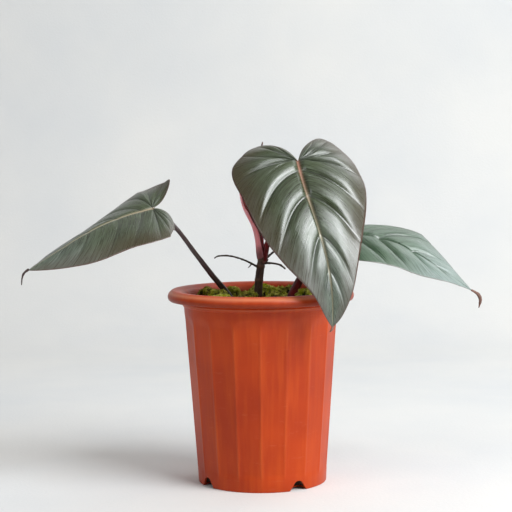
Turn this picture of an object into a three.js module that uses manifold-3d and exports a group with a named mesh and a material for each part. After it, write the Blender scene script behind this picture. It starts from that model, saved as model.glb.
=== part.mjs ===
// A rooted philodendron cutting in a fluted plastic pot with a moss-covered top.
// Millimetres, +Z up. The origin is the middle of the pot's underside.
// The front of the plant, where its largest leaf hangs, is towards -Y.
import * as THREE from 'three';
import { mergeVertices } from 'three/addons/utils/BufferGeometryUtils.js';
import Module from 'manifold-3d';

const wasm = await Module();
wasm.setup();

// Driving dimensions
const gap = 0.3; // between neighbouring pieces
const potHeight = 186.4;
const rimRadius = 90;
const rimDepth = 10.5; // height of the rolled rim
const bodyTopRadius = 74.8;
const bodyFootRadius = 62;
const wall = 1.9;
const floorThickness = 2.6;
const ridgeCount = 18;
const ridgeHeight = 1.1; // how far the panels lie behind the ridges
const ridgeWidth = 0.17; // share of one ridge pitch
const archDrop = 15.9; // from the rim's lower edge to the ends of the panels' arches
const beadHeight = 1.2; // the ring just under the rim
const notchCount = 4;
const notchFoot = 20; // width of a drain notch at the ground
const notchHead = 8;
const notchHeight = 9.5;
const notchTurn = 33; // degrees from the front to the first notch
const soilBelowRim = 11.4;
// The top of the potting mix. Every height on the plant is measured from it.
const soilHeight = potHeight - soilBelowRim;
const stemRadius = 3.9;
const bladeThickness = 1.2;
const midribDepth = 1.6; // how far the midrib stands out under a leaf
const plantScale = 1; // grows the leaves from their junctions

// Leaves, with heights from the top of the mix. Each has the rib's four Bezier points and
// the blade's face direction at the base and the tip. Each half (left, right) has fold and
// curl at base, middle and tip in degrees, the bend of the lobe behind the junction, and
// half widths as shares of the rib's length.
const leafFront = {
  rib: [[35.9, -24, 134.3], [43.6, -73, 90.5], [69, -84, 50], [64.3, -90, -16.7]],
  face: [[0.2, -0.75, 0.63], [0.2, -0.94, 0.26]],
  left: { fold: [2, 5, 18], curl: [80, 80, 67], lobe: 165, lobeEnd: [-0.204, -0.246, -0.105],
    widths: [0.045, 0.11, 0.228, 0.306, 0.348, 0.36, 0.28, 0.203, 0.155] },
  right: { fold: [17, 6, 12], curl: [108, 106, 78], lobe: 120, lobeEnd: [-0.208, -0.246, -0.11],
    widths: [0.05, 0.112, 0.187, 0.3, 0.367, 0.34, 0.262, 0.214, 0.163] },
};
const leafLeft = {
  rib: [[-102, -20.3, 90.6], [-148, -36.4, 80.5], [-161, -68, 71], [-211, -90, 38]],
  face: [[-0.74, -0.39, 0.54], [-0.31, -0.47, 0.83]],
  left: { fold: [25, -9, -22], curl: [106, 64, 58], lobe: -172, lobeEnd: [-0.202, -0.248, -0.106],
    widths: [0.045, 0.125, 0.232, 0.312, 0.345, 0.348, 0.308, 0.218, 0.168] },
  right: { fold: [-19, -21, -28], curl: [13, 54, 59], lobe: 410, lobeEnd: [-0.19, -0.225, -0.12],
    widths: [0.052, 0.14, 0.25, 0.322, 0.378, 0.358, 0.302, 0.208, 0.142] },
};
const leafRight = {
  rib: [[78.2, 6.3, 59.8], [121.2, 0.6, 66.7], [160.7, -0.4, 39.4], [201.9, -20, 9]],
  face: [[0.216, -0.414, 0.884], [0.423, -0.506, 0.752]],
  left: { fold: [14, 10, -1], curl: [57, 50, 64], lobe: 60, lobeEnd: [-0.2, -0.245, -0.13],
    widths: [0.027, 0.108, 0.237, 0.319, 0.375, 0.364, 0.299, 0.202, 0.119] },
  right: { fold: [-8, 6, -14], curl: [69, 48, 56], lobe: 60, lobeEnd: [-0.2, -0.245, -0.13],
    widths: [0.031, 0.114, 0.226, 0.326, 0.374, 0.364, 0.299, 0.202, 0.119] },
};
const stations = [0.94, 0.82, 0.64, 0.43, 0.22, 0.03, -0.12]; // where the first seven widths are

// Stems, petioles and roots: the points of each centre line, thick end first, with heights
// from the top of the mix, and the radii.
const stemPath = [[-14, 6, -79], [-8, 3, -40], [-3, 2, 1], [-1.4, 2, 21], [1.5, 2, 41.5]];
const stemRadii = [0.8, 0.6, 0.4, 0.2, 0, -0.3].map((extra) => stemRadius + extra);
const petioles = {
  petiole_front: {
    path: [[4.3, 2, 41.8], [6.2, 5, 52], [10, 8.5, 62.5], [18, 12, 83.5], [27.5, 8, 109],
      [34, -8, 125], [35.6, -21, 131.9]],
    radii: [2.7, 2.6, 2.4, 2.2, 2.1, 2.2, 2.4],
  },
  petiole_left: {
    path: [[-16, 2, -27], [-30, -6, 3.9], [-46.7, -10, 25.6], [-63.2, -14, 48.2],
      [-79.4, -18, 70.5], [-91.6, -19.2, 82.6], [-101.2, -19, 86.6]],
    radii: [2.9, 2.7, 2.4, 2.1, 1.9, 1.9, 2],
  },
  petiole_right: {
    path: [[3, 6, -53], [18, 7.5, -22], [30, 8, 3], [39.4, 9, 21.4], [50.6, 11, 42.6],
      [64, 11.8, 52.8], [78.6, 8.2, 55.6]],
    radii: [5, 4.9, 4.6, 4.2, 3.4, 2.8, 2.5],
  },
};
const aerialRoots = {
  aerial_root_left: {
    path: [[-1, 2, 31], [-12.6, -6, 38.1], [-24.1, -12, 42.8], [-33.3, -16, 44.6],
      [-41.4, -18, 44], [-44.2, -19, 42.1]],
    radii: [1.1, 0.85, 0.75, 0.7, 0.65, 0.6],
  },
  aerial_root_right: {
    path: [[2, 1, 35.6], [10.7, -3, 36], [18.9, -5, 34.3], [24, -6, 30.3]],
    radii: [1.1, 0.9, 0.8, 0.75],
  },
  aerial_root_back: {
    path: [[2, 2.5, 37.6], [13.3, 10, 46.2], [22.1, 17, 51.2], [31, 22, 53.7]],
    radii: [1.1, 0.9, 0.8, 0.6],
  },
};
const rootlet = { path: [[-8.6, -3.2, 35.6], [-10.7, -4, 33], [-12.2, -4.4, 31.8]],
  radii: [0.7, 0.6, 0.5] };
const budPath = [[1, 0, 36.2], [5.4, 0, 37.8], [7.6, -0.6, 39.6]];
const spearPath = [[-1.6, 6.6, 46.5], [-3, 9.5, 63], [-5, 13, 82], [-6.4, 16, 102],
  [-5, 19, 121], [-0.6, 22, 138], [3.2, 24, 153]];
const spearRadii = [1.5, 3, 4.4, 4.8, 4.2, 2.7, 0.7];

// The pink sheath that wrapped the new leaf: centre line of its keel, half width and wrap.
const sheath = {
  keel: [[-3, 5.2, 44.6], [-4.1, 8.5, 57.5], [-7.2, 12.5, 71], [-15, 17, 89],
    [-18.2, 20.5, 107], [-18, 23.5, 125], [-10, 26, 142]],
  radius: [3, 4.6, 6.4, 8.6, 9.2, 8, 1.2],
  wrap: [250, 220, 185, 150, 130, 110, 80], // degrees of the section that it covers
  facing: [0.74, -0.66, 0.1], // where its open side looks
  thickness: 1,
};

// Drip tips, the thread that ends each blade: its leaf, points measured from the blade's tip.
const dripTips = {
  drip_tip_front: { leaf: leafFront, radii: [1, 0.8, 0.5],
    path: [[-0.1, -0.2, -0.7], [-1, -1.4, -2.3], [-2.5, -2, -3.7]] },
  drip_tip_left: { leaf: leafLeft, radii: [1.2, 0.9, 0.7, 0.5],
    path: [[-1, -0.5, -0.6], [-3.4, -1.3, -2.6], [-5, -1.4, -6.6], [-5.8, -1, -13.4]] },
  drip_tip_right: { leaf: leafRight, radii: [1, 1.4, 1.7, 1.3, 0.5],
    path: [[0.8, 0, -0.4], [4.9, 0, -3], [7.3, 0, -7.8], [6.8, 0, -12.5], [5.7, 0, -16.4]] },
};

// Roots in the potting mix: direction around the stem, length, drop and starting height.
const buriedRoots = [
  { turn: 200, reach: 44, drop: 50, start: -57 },
  { turn: 262, reach: 40, drop: 62, start: -66 },
  { turn: 322, reach: 46, drop: 44, start: -48 },
  { turn: 70, reach: 42, drop: 58, start: -61 },
  { turn: 135, reach: 38, drop: 48, start: -52 },
];
const buriedRootRadius = 1.5;

// Moss cushions: middle x and y and radius for a mix of the radius below, and height.
const mossBedRadius = 72;
const mossClumps = [
  [-51, 20, 13, 10], [-40, -12, 10.5, 11.5], [-28, 24, 13, 10.5], [-37, -40, 12, 8.5],
  [-12, -26, 12.5, 10], [-3, 24, 11.5, 11], [14, -12, 10.5, 12.5], [14, -40, 12, 8.5],
  [27, 32, 12.5, 10], [44, -14, 11.5, 10.5], [51, 16, 12, 10.5], [2, 52, 13, 9],
];

// Shared helpers

// One closed surface from a three.js geometry: shared points merged, empty faces dropped.
function closedSurface(geometry, tolerance = 1e-3) {
  geometry.deleteAttribute('normal');
  geometry.deleteAttribute('uv');
  const merged = mergeVertices(geometry, tolerance);
  const point = merged.getAttribute('position');
  const kept = [];
  for (let i = 0; i < merged.index.count; i += 3) {
    const [a, b, c] = [0, 1, 2].map((k) => merged.index.getX(i + k));
    if (a !== b && b !== c && c !== a) kept.push(a, b, c);
  }
  let volume = 0;
  const [p, q, r] = [0, 1, 2].map(() => new THREE.Vector3());
  for (let i = 0; i < kept.length; i += 3) {
    p.fromBufferAttribute(point, kept[i]);
    q.fromBufferAttribute(point, kept[i + 1]);
    r.fromBufferAttribute(point, kept[i + 2]);
    volume += p.dot(q.cross(r));
  }
  if (volume < 0) kept.reverse();
  merged.setIndex(kept);
  return merged;
}

function solidOf(geometry) {
  const surface = closedSurface(geometry);
  return new wasm.Manifold(new wasm.Mesh({
    numProp: 3,
    vertProperties: Float32Array.from(surface.getAttribute('position').array),
    triVerts: Uint32Array.from(surface.index.array),
  }));
}

function geometryOf(solid) {
  const mesh = solid.getMesh();
  const geometry = new THREE.BufferGeometry();
  geometry.setAttribute('position', new THREE.BufferAttribute(mesh.vertProperties, 3));
  geometry.setIndex(new THREE.BufferAttribute(mesh.triVerts, 1));
  return geometry;
}

// A number read from a list of evenly spaced values, smoothly between them.
function valueAlong(values, share) {
  const curve = new THREE.SplineCurve(values.map((v, i) => new THREE.Vector2(i, v)));
  return curve.getPoint(THREE.MathUtils.clamp(share, 0, 1)).y;
}

// A point whose height is given from the top of the mix.
function lifted([x, y, z]) {
  return new THREE.Vector3(x, y, z + soilHeight);
}

function curveThrough(points) {
  return new THREE.CatmullRomCurve3(points.map(lifted), false, 'centripetal');
}

// A round limb along a centre line: a lathe turned with its radii, then bent along the line.
function limb({ path, radii }, { steps = 14, sides = 8, extra = 0 } = {}) {
  const curve = curveThrough(path);
  const frames = curve.computeFrenetFrames(steps, false);
  const profile = [new THREE.Vector2(0, 0)];
  for (let i = 0; i <= steps; i += 1) {
    profile.push(new THREE.Vector2(valueAlong(radii, i / steps) + extra, i));
  }
  profile.push(new THREE.Vector2(0, steps));
  const geometry = new THREE.LatheGeometry(profile, sides);
  const point = geometry.getAttribute('position');
  for (let i = 0; i < point.count; i += 1) {
    const ring = Math.round(point.getY(i));
    const place = curve.getPointAt(ring / steps);
    if (extra > 0 && ring === 0) place.addScaledVector(frames.tangents[0], -extra);
    if (extra > 0 && ring === steps) place.addScaledVector(frames.tangents[steps], extra);
    place.addScaledVector(frames.normals[ring], point.getX(i));
    place.addScaledVector(frames.binormals[ring], point.getZ(i));
    point.setXYZ(i, place.x, place.y, place.z);
  }
  return geometry;
}

// Leaves

// The blade's rib as points, directions and face directions by share of its length.
function ribOf(leaf) {
  const points = leaf.rib.map(lifted);
  points.slice(1).forEach((p) => p.sub(points[0]).multiplyScalar(plantScale).add(points[0]));
  const curve = new THREE.CubicBezierCurve3(...points);
  const faces = leaf.face.map((n) => new THREE.Vector3(...n).normalize());
  return {
    length: curve.getLength(),
    at(share) {
      const along = curve.getTangentAt(share);
      const up = faces[0].clone().lerp(faces[1], share);
      up.addScaledVector(along, -up.dot(along)).normalize();
      return { place: curve.getPointAt(share), along, up };
    },
  };
}

// A point of the blade. along: shares of the rib's length from the junction to the tip,
// below zero in the lobes; out: shares of that length from the rib towards the margin.
// The spine of a lobe is an arc that bends back, and each half leaves the rib at its fold
// angle and follows an arc of its curl.
function bladePoint(rib, half, side, along, out) {
  const share = THREE.MathUtils.clamp(along, 0, 1);
  const { place, along: ahead, up } = rib.at(share);
  const across = new THREE.Vector3().crossVectors(up, ahead);
  const back = Math.max(-along, 0);
  const bend = THREE.MathUtils.degToRad(half.lobe);
  const turned = bend * back;
  place.addScaledVector(ahead, (-Math.sin(turned) / bend) * rib.length);
  place.addScaledVector(up, ((Math.cos(turned) - 1) / bend) * rib.length);
  up.multiplyScalar(Math.cos(turned)).addScaledVector(ahead, -Math.sin(turned));
  const fold = THREE.MathUtils.degToRad(between(half.fold, share));
  const curl = THREE.MathUtils.degToRad(between(half.curl, share));
  const sideways = (Math.sin(fold) - Math.sin(fold - curl * out)) / curl;
  const upwards = (Math.cos(fold - curl * out) - Math.cos(fold)) / curl;
  place.addScaledVector(across, side * sideways * rib.length);
  place.addScaledVector(up, upwards * rib.length);
  return { place, up };
}

// Straight lines between the values at the base, the middle and the tip.
function between([base, middle, tip], share) {
  return share < 0.5
    ? THREE.MathUtils.lerp(base, middle, share * 2)
    : THREE.MathUtils.lerp(middle, tip, share * 2 - 1);
}

// The margin of one half from the tip round the lobe to the junction.
function marginOf(half) {
  const points = [[1, 0]];
  stations.forEach((s, i) => points.push([s, half.widths[i]]));
  points.push([half.lobeEnd[0], half.widths[7]]);
  points.push([half.lobeEnd[1], half.widths[8]]);
  points.push([half.lobeEnd[2], half.widths[8] * 0.3]);
  points.push([0, 0]);
  return new THREE.SplineCurve(points.map((p) => new THREE.Vector2(...p)));
}

// A closed plate: both faces of both halves on one grid, joined round the margin.
// Rows run from the tip to the junction, columns from the rib to the margin.
function leafPlate(leaf, { rows = 22, columns = [0, 0.1, 0.34, 0.67, 1], extra = 0 } = {}) {
  const rib = ribOf(leaf);
  const positions = [];
  const faces = [];
  const sides = [['left', -1], ['right', 1]];
  for (const [name, side] of sides) {
    const half = leaf[name];
    const margin = marginOf(half);
    const start = positions.length / 3;
    const spot = (u, v) => {
      const edge = margin.getPoint(u);
      const origin = Math.max(0, 1 - 1.25 * u);
      const along = THREE.MathUtils.lerp(origin, edge.x, v);
      return bladePoint(rib, half, side, along, Math.max(edge.y, 0) * v);
    };
    for (let i = 0; i <= rows; i += 1) {
      const u = i / rows;
      for (const v of columns) {
        const here = spot(u, v);
        let out = here.up;
        if (i > 0 && i < rows && v > 0) {
          const du = spot(u + 0.01, v).place.sub(spot(u - 0.01, v).place);
          const dv = spot(u, Math.min(v + 0.02, 1)).place.sub(spot(u, v - 0.02).place);
          out = du.cross(dv).normalize();
          if (out.dot(here.up) < 0) out.negate();
        }
        const rise = Math.exp(-((v / 0.09) ** 2)) * midribDepth * Math.min(1, 4 * (1 - u), 5 * u);
        const top = bladeThickness / 2 + extra;
        const below = top + (i === 0 || i === rows ? 0 : rise);
        positions.push(...here.place.clone().addScaledVector(out, top).toArray());
        positions.push(...here.place.clone().addScaledVector(out, -below).toArray());
      }
    }
    const across = columns.length;
    const at = (i, j, face) => start + (i * across + j) * 2 + face;
    const quad = (a, b, c, d) => {
      if (side > 0) faces.push(a, b, c, a, c, d);
      else faces.push(a, c, b, a, d, c);
    };
    for (let i = 0; i < rows; i += 1) {
      for (let j = 0; j < across - 1; j += 1) {
        quad(at(i, j, 0), at(i + 1, j, 0), at(i + 1, j + 1, 0), at(i, j + 1, 0));
        quad(at(i, j, 1), at(i, j + 1, 1), at(i + 1, j + 1, 1), at(i + 1, j, 1));
      }
      const edge = across - 1;
      quad(at(i, edge, 0), at(i + 1, edge, 0), at(i + 1, edge, 1), at(i, edge, 1));
    }
  }
  const geometry = new THREE.BufferGeometry();
  geometry.setAttribute('position', new THREE.Float32BufferAttribute(positions, 3));
  geometry.setIndex(faces);
  return geometry;
}

// Pot

// Outer and inner profile from the middle of the floor outwards, radius against height.
function potProfile() {
  const rimFoot = potHeight - rimDepth;
  const outerAt = (z) => THREE.MathUtils.lerp(bodyFootRadius, bodyTopRadius, z / rimFoot);
  const lip = rimRadius - bodyTopRadius;
  const points = [[0, 0], [bodyFootRadius - 1, 0], [outerAt(1), 1], [outerAt(11), 11]];
  for (const z of [17, 25, rimFoot / 2]) points.push([outerAt(z), z]);
  for (const drop of [21, 15, 9]) points.push([outerAt(rimFoot - drop), rimFoot - drop]);
  const bead = outerAt(rimFoot - 5) + beadHeight;
  points.push([bead - beadHeight, rimFoot - 5.4], [bead, rimFoot - 4.9], [bead, rimFoot - 2.3]);
  points.push([bodyTopRadius + 0.4, rimFoot], [rimRadius - wall, rimFoot + 0.6]);
  points.push([rimRadius - 0.6, rimFoot], [rimRadius, rimFoot + 0.7], [rimRadius - 0.4, rimFoot + 5]);
  for (const turn of [25, 55, 90]) {
    const angle = THREE.MathUtils.degToRad(turn);
    points.push([rimRadius - 8 + 7.6 * Math.cos(angle), potHeight - 5.5 + 5.5 * Math.sin(angle)]);
  }
  points.push([bodyTopRadius + 0.24 * lip, potHeight - 1.2]);
  points.push([bodyTopRadius - 0.3, potHeight - 4.2], [outerAt(rimFoot) - wall, potHeight - 7.5]);
  points.push([outerAt(20) - wall, 20], [outerAt(floorThickness) - wall, floorThickness]);
  points.push([0, floorThickness]);
  return points.map((p) => new THREE.Vector2(...p));
}

// The pot: a lathe whose outside is pushed in between the ridges, under round arches.
function potSolid() {
  const perRidge = 4;
  const turned = new THREE.LatheGeometry(potProfile(), ridgeCount * perRidge);
  turned.rotateX(Math.PI / 2);
  const point = turned.getAttribute('position');
  const rimFoot = potHeight - rimDepth;
  const middleRadius = (z) => THREE.MathUtils.lerp(bodyFootRadius, bodyTopRadius, z / rimFoot) - wall / 2;
  const pitch = (2 * Math.PI) / ridgeCount;
  for (let i = 0; i < point.count; i += 1) {
    const [x, y, z] = [point.getX(i), point.getY(i), point.getZ(i)];
    const radius = Math.hypot(x, y);
    const turn = Math.atan2(y, x);
    const step = Math.round((turn / pitch) * perRidge);
    const lane = ((step % perRidge) + perRidge) % perRidge; // 0 is a ridge, 2 the panel's middle
    const archTop = lane === 0 ? 0 : rimFoot - archDrop + (lane === 2 ? 6 : 0);
    if (radius > middleRadius(z) && z > 13 && z < archTop) {
      const warped = (Math.round(step / perRidge) + [0, ridgeWidth, 0.5, -ridgeWidth][lane]) * pitch;
      const angle = lane === 2 ? turn : warped;
      const inset = radius - ridgeHeight * (lane === 2 ? 1.15 : 0.85);
      point.setXYZ(i, inset * Math.cos(angle), inset * Math.sin(angle), z);
    }
  }
  turned.rotateZ(THREE.MathUtils.degToRad(-90.8));
  let solid = solidOf(turned);
  for (let i = 0; i < notchCount; i += 1) {
    solid = solid.subtract(solidOf(notchBlock(notchTurn + (360 / notchCount) * i)));
  }
  return solid;
}

// The block that cuts one drain notch through the wall and the edge of the floor.
function notchBlock(turn, extra = 0) {
  const outline = new THREE.Shape();
  outline.moveTo(-notchFoot / 2 - extra, -1);
  outline.lineTo(notchFoot / 2 + extra, -1);
  outline.lineTo(notchHead / 2 + extra, notchHeight - 1.5);
  outline.quadraticCurveTo(0, notchHeight + 1.5 + 2 * extra, -notchHead / 2 - extra, notchHeight - 1.5);
  outline.closePath();
  const depth = 16;
  const block = new THREE.ExtrudeGeometry(outline, { depth, bevelEnabled: false, curveSegments: 4 });
  block.rotateX(Math.PI / 2);
  block.translate(0, -bodyFootRadius + depth - 6.5, 0);
  block.rotateZ(THREE.MathUtils.degToRad(turn));
  return block;
}

// The radius of the potting mix at a height, one gap inside the pot's wall.
function mixRadius(z) {
  const outside = THREE.MathUtils.lerp(bodyFootRadius, bodyTopRadius, z / (potHeight - rimDepth));
  return outside - wall - gap - 0.35;
}

// Potting mix: fills the pot up to a gently uneven top.
function mixSolid() {
  const low = floorThickness + gap;
  const edge = soilHeight - 2;
  const reach = mixRadius(edge);
  const points = [[0, low], [mixRadius(low) - 0.5, low], [mixRadius(20), 20], [reach, edge]];
  for (const [share, rise] of [[0.92, -0.6], [0.63, 0], [0.31, 0.5], [0, 0.8]]) {
    points.push([reach * share, soilHeight + rise]);
  }
  const mix = new THREE.LatheGeometry(points.map((p) => new THREE.Vector2(...p)), 36);
  mix.rotateX(Math.PI / 2);
  mix.rotateZ(THREE.MathUtils.degToRad(-90.8));
  return solidOf(mix);
}

// A low moss cushion with a wavy outline.
function mossCushion([x, y, radius, height], index) {
  const spread = mixRadius(soilHeight - 2) / mossBedRadius;
  const rings = [[0, 0], [0.93, 0], [1, 0.24], [0.86, 0.66], [0.5, 0.93], [0, 1]];
  const cushion = new THREE.LatheGeometry(rings.map((p) => new THREE.Vector2(...p)), 11);
  const point = cushion.getAttribute('position');
  for (let i = 0; i < point.count; i += 1) {
    const turn = Math.atan2(point.getZ(i), point.getX(i));
    const wave = 0.9 + 0.1 * Math.sin(3 * turn + index) * Math.cos(2 * turn + 2 * index);
    const rise = point.getY(i) * height * (1 + 0.08 * Math.sin(2 * turn + 3 * index));
    const base = soilHeight + 0.8 + gap;
    const across = (x + point.getX(i) * radius * wave) * spread;
    const away = (y - point.getZ(i) * radius * wave) * spread;
    point.setXYZ(i, across, away, base + rise);
  }
  return solidOf(cushion);
}

// The sheath: an open gutter whose section turns from a narrow base to a wide top.
function sheathSolid() {
  const [rows, columns] = [12, 8];
  const curve = curveThrough(sheath.keel);
  const open = new THREE.Vector3(...sheath.facing).normalize();
  const positions = [];
  const faces = [];
  for (let i = 0; i <= rows; i += 1) {
    const share = i / rows;
    const along = curve.getTangentAt(share);
    const front = open.clone().addScaledVector(along, -open.dot(along)).normalize();
    const across = new THREE.Vector3().crossVectors(along, front);
    const radius = valueAlong(sheath.radius, share);
    const reach = THREE.MathUtils.degToRad(valueAlong(sheath.wrap, share)) / 2;
    const centre = curve.getPointAt(share).addScaledVector(front, radius);
    for (const grow of [0, -sheath.thickness]) {
      for (let j = 0; j <= columns; j += 1) {
        const angle = reach * ((2 * j) / columns - 1);
        const spot = centre.clone();
        spot.addScaledVector(front, -Math.cos(angle) * (radius + grow));
        spot.addScaledVector(across, Math.sin(angle) * (radius + grow));
        positions.push(...spot.toArray());
      }
    }
  }
  const width = columns + 1;
  const at = (i, skin, j) => (i * 2 + skin) * width + j;
  const quad = (a, b, c, d) => faces.push(a, b, c, a, c, d);
  for (let i = 0; i < rows; i += 1) {
    for (let j = 0; j < columns; j += 1) {
      quad(at(i, 0, j), at(i, 0, j + 1), at(i + 1, 0, j + 1), at(i + 1, 0, j));
      quad(at(i, 1, j + 1), at(i, 1, j), at(i + 1, 1, j), at(i + 1, 1, j + 1));
    }
    quad(at(i, 1, 0), at(i, 0, 0), at(i + 1, 0, 0), at(i + 1, 1, 0));
    quad(at(i, 0, columns), at(i, 1, columns), at(i + 1, 1, columns), at(i + 1, 0, columns));
  }
  for (let j = 0; j < columns; j += 1) {
    quad(at(0, 0, j + 1), at(0, 0, j), at(0, 1, j), at(0, 1, j + 1));
    quad(at(rows, 0, j), at(rows, 0, j + 1), at(rows, 1, j + 1), at(rows, 1, j));
  }
  const geometry = new THREE.BufferGeometry();
  geometry.setAttribute('position', new THREE.Float32BufferAttribute(positions, 3));
  geometry.setIndex(faces);
  return solidOf(geometry);
}

// A root that leaves the stem below the top of the mix, spreads and drops.
function buriedRoot({ turn, reach, drop, start }, extra = 0) {
  const stem = curveThrough(stemPath);
  const share = (start - stemPath[0][2]) / (stemPath[4][2] - stemPath[0][2]);
  const from = stem.getPointAt(share);
  const angle = THREE.MathUtils.degToRad(turn);
  const path = [0, 0.3, 0.65, 1].map((s) => [
    from.x + Math.cos(angle + 0.25 * s) * reach * s,
    from.y + Math.sin(angle + 0.25 * s) * reach * s,
    from.z - soilHeight - drop * s * s - 2,
  ]);
  const radii = [1, 0.9, 0.75, 0.5].map((r) => r * buriedRootRadius);
  return limb({ path, radii }, { steps: 7, sides: 6, extra });
}

// Assembly: each piece is cut back from the ones it meets, one gap clear of them.
const colours = {
  plastic: { color: 0xb5512f, roughness: 0.5, metalness: 0 },
  mix: { color: 0x2a1d14, roughness: 0.95, metalness: 0 },
  moss: { color: 0x5d6e12, roughness: 0.95, metalness: 0 },
  bark: { color: 0x2b1e18, roughness: 0.7, metalness: 0 },
  petiole: { color: 0x4a2420, roughness: 0.5, metalness: 0 },
  blade: { color: 0x5f6f5e, roughness: 0.4, metalness: 0 },
  sheath: { color: 0xd9848a, roughness: 0.45, metalness: 0 },
  spear: { color: 0x7a3b3a, roughness: 0.5, metalness: 0 },
  root: { color: 0x3a2d26, roughness: 0.8, metalness: 0 },
  dry: { color: 0x8a6a58, roughness: 0.8, metalness: 0 },
};
const cutting = new THREE.Group();

function addPiece(name, solid, colour) {
  const mesh = new THREE.Mesh(geometryOf(solid), new THREE.MeshStandardMaterial(colours[colour]));
  mesh.name = name;
  cutting.add(mesh);
}

const leaves = { leaf_front: leafFront, leaf_left: leafLeft, leaf_right: leafRight };
const grown = { extra: gap };
const stemLimb = { path: stemPath, radii: stemRadii };
const stem = solidOf(limb(stemLimb, { steps: 18, sides: 10 }));
const stemGrown = solidOf(limb(stemLimb, { steps: 18, sides: 10, extra: gap }));

addPiece('pot', potSolid(), 'plastic');
addPiece('main_stem', stem, 'bark');

let bladesGrown = null;
for (const [name, leaf] of Object.entries(leaves)) {
  addPiece(name, solidOf(leafPlate(leaf)), 'blade');
  const plate = solidOf(leafPlate(leaf, grown));
  bladesGrown = bladesGrown ? bladesGrown.add(plate) : plate;
}

const sheathPiece = sheathSolid();
let stalksGrown = stemGrown;
for (const [name, petiole] of Object.entries(petioles)) {
  const clear = solidOf(limb(petiole)).subtract(stalksGrown).subtract(bladesGrown);
  const parts = clear.decompose().sort((a, b) => b.volume() - a.volume());
  addPiece(name, parts[0], 'petiole');
  stalksGrown = stalksGrown.add(solidOf(limb(petiole, grown)));
}

const spear = solidOf(limb({ path: spearPath, radii: spearRadii }, { steps: 18 })).subtract(stalksGrown);
addPiece('new_leaf', spear.decompose().sort((a, b) => b.volume() - a.volume())[0], 'spear');
const spearGrown = solidOf(limb({ path: spearPath, radii: spearRadii }, { steps: 18, extra: gap }));
const sheathClear = sheathPiece.subtract(stalksGrown).subtract(spearGrown).subtract(bladesGrown);
addPiece('cataphyll', sheathClear.decompose().sort((a, b) => b.volume() - a.volume())[0], 'sheath');

const bud = { path: budPath, radii: [1.9, 1.6, 0.4] };
let stalksAndBud = stalksGrown.add(solidOf(limb(bud, { steps: 6, extra: gap })));
addPiece('axillary_bud', solidOf(limb(bud, { steps: 6 })).subtract(stalksGrown), 'spear');
for (const [name, root] of Object.entries(aerialRoots)) {
  let piece = solidOf(limb(root, { steps: 10, sides: 6 }));
  if (name === 'aerial_root_left') piece = piece.add(solidOf(limb(rootlet, { steps: 3, sides: 6 })));
  const clear = piece.subtract(stalksAndBud).decompose().sort((a, b) => b.volume() - a.volume());
  addPiece(name, clear[0], 'root');
  stalksAndBud = stalksAndBud.add(solidOf(limb(root, { steps: 10, sides: 6, extra: gap })));
}
for (const [name, { leaf, path, radii }] of Object.entries(dripTips)) {
  const [base, tip] = [leaf.rib[0], leaf.rib[3]];
  const end = tip.map((c, k) => base[k] + (c - base[k]) * plantScale);
  const thread = { path: path.map((p) => p.map((c, k) => c + end[k])), radii };
  const piece = solidOf(limb(thread, { steps: 6, sides: 6 })).subtract(bladesGrown);
  const colour = name === 'drip_tip_right' ? 'dry' : 'root';
  addPiece(name, piece.decompose().sort((a, b) => b.volume() - a.volume())[0], colour);
}

let mix = mixSolid().subtract(stalksGrown);
buriedRoots.forEach((root, i) => {
  const piece = solidOf(buriedRoot(root)).subtract(stalksGrown).decompose();
  addPiece(`buried_root_${i + 1}`, piece.sort((a, b) => b.volume() - a.volume())[0], 'root');
  mix = mix.subtract(solidOf(buriedRoot(root, gap)));
});
for (let i = 0; i < notchCount; i += 1) {
  mix = mix.subtract(solidOf(notchBlock(notchTurn + (360 / notchCount) * i, gap)));
}
addPiece('potting_mix', mix, 'mix');
mossClumps.forEach((clump, i) => {
  const piece = mossCushion(clump, i).subtract(stalksGrown);
  addPiece(`moss_${String(i + 1).padStart(2, '0')}`, piece, 'moss');
});

export default cutting;
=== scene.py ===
import bmesh
import bpy
import numpy as np
from mathutils import Matrix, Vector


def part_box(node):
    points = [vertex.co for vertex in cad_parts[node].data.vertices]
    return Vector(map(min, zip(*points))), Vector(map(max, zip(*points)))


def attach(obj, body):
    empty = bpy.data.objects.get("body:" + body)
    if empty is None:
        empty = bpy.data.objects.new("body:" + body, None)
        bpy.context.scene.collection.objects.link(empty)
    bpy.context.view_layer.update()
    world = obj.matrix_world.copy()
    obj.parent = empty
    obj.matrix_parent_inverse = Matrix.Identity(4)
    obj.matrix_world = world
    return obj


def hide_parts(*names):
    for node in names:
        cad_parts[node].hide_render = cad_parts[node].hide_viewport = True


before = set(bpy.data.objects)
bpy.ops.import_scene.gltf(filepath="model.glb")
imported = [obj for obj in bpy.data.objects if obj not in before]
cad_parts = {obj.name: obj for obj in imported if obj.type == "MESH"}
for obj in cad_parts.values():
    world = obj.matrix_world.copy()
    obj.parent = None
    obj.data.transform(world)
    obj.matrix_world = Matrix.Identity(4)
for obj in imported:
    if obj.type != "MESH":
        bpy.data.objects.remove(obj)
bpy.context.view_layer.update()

print("frame loaded:", len(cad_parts), "nodes")


# ways to place and shape things

def mm(size):
    # millimetres to metres
    return size / 1000


def cornersOf(node):
    # the lowest and the highest corner of a node's box
    return [np.array(corner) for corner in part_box(node)]


def placeIn(node, shares):
    # shares of a node's box, from its lowest to its highest corner, as points
    low, high = cornersOf(node)
    return low + (high - low) * np.array(shares, float)


def unit(v):
    # each vector at length one
    return v / np.maximum(np.linalg.norm(v, axis=-1, keepdims=True), 1e-12)


def over(*values):
    # values stretched over one grid, as the coordinates of its points
    return np.stack(np.broadcast_arrays(*values), -1)


def ease(x):
    # 0 below 0, 1 above 1, and a smooth step between
    x = np.clip(x, 0, 1)
    return x * x * (3 - 2 * x)


def bell(x, width):
    # 1 where x is 0, falling off on both sides over the width
    return np.exp(-(x / width) ** 2)


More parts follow.
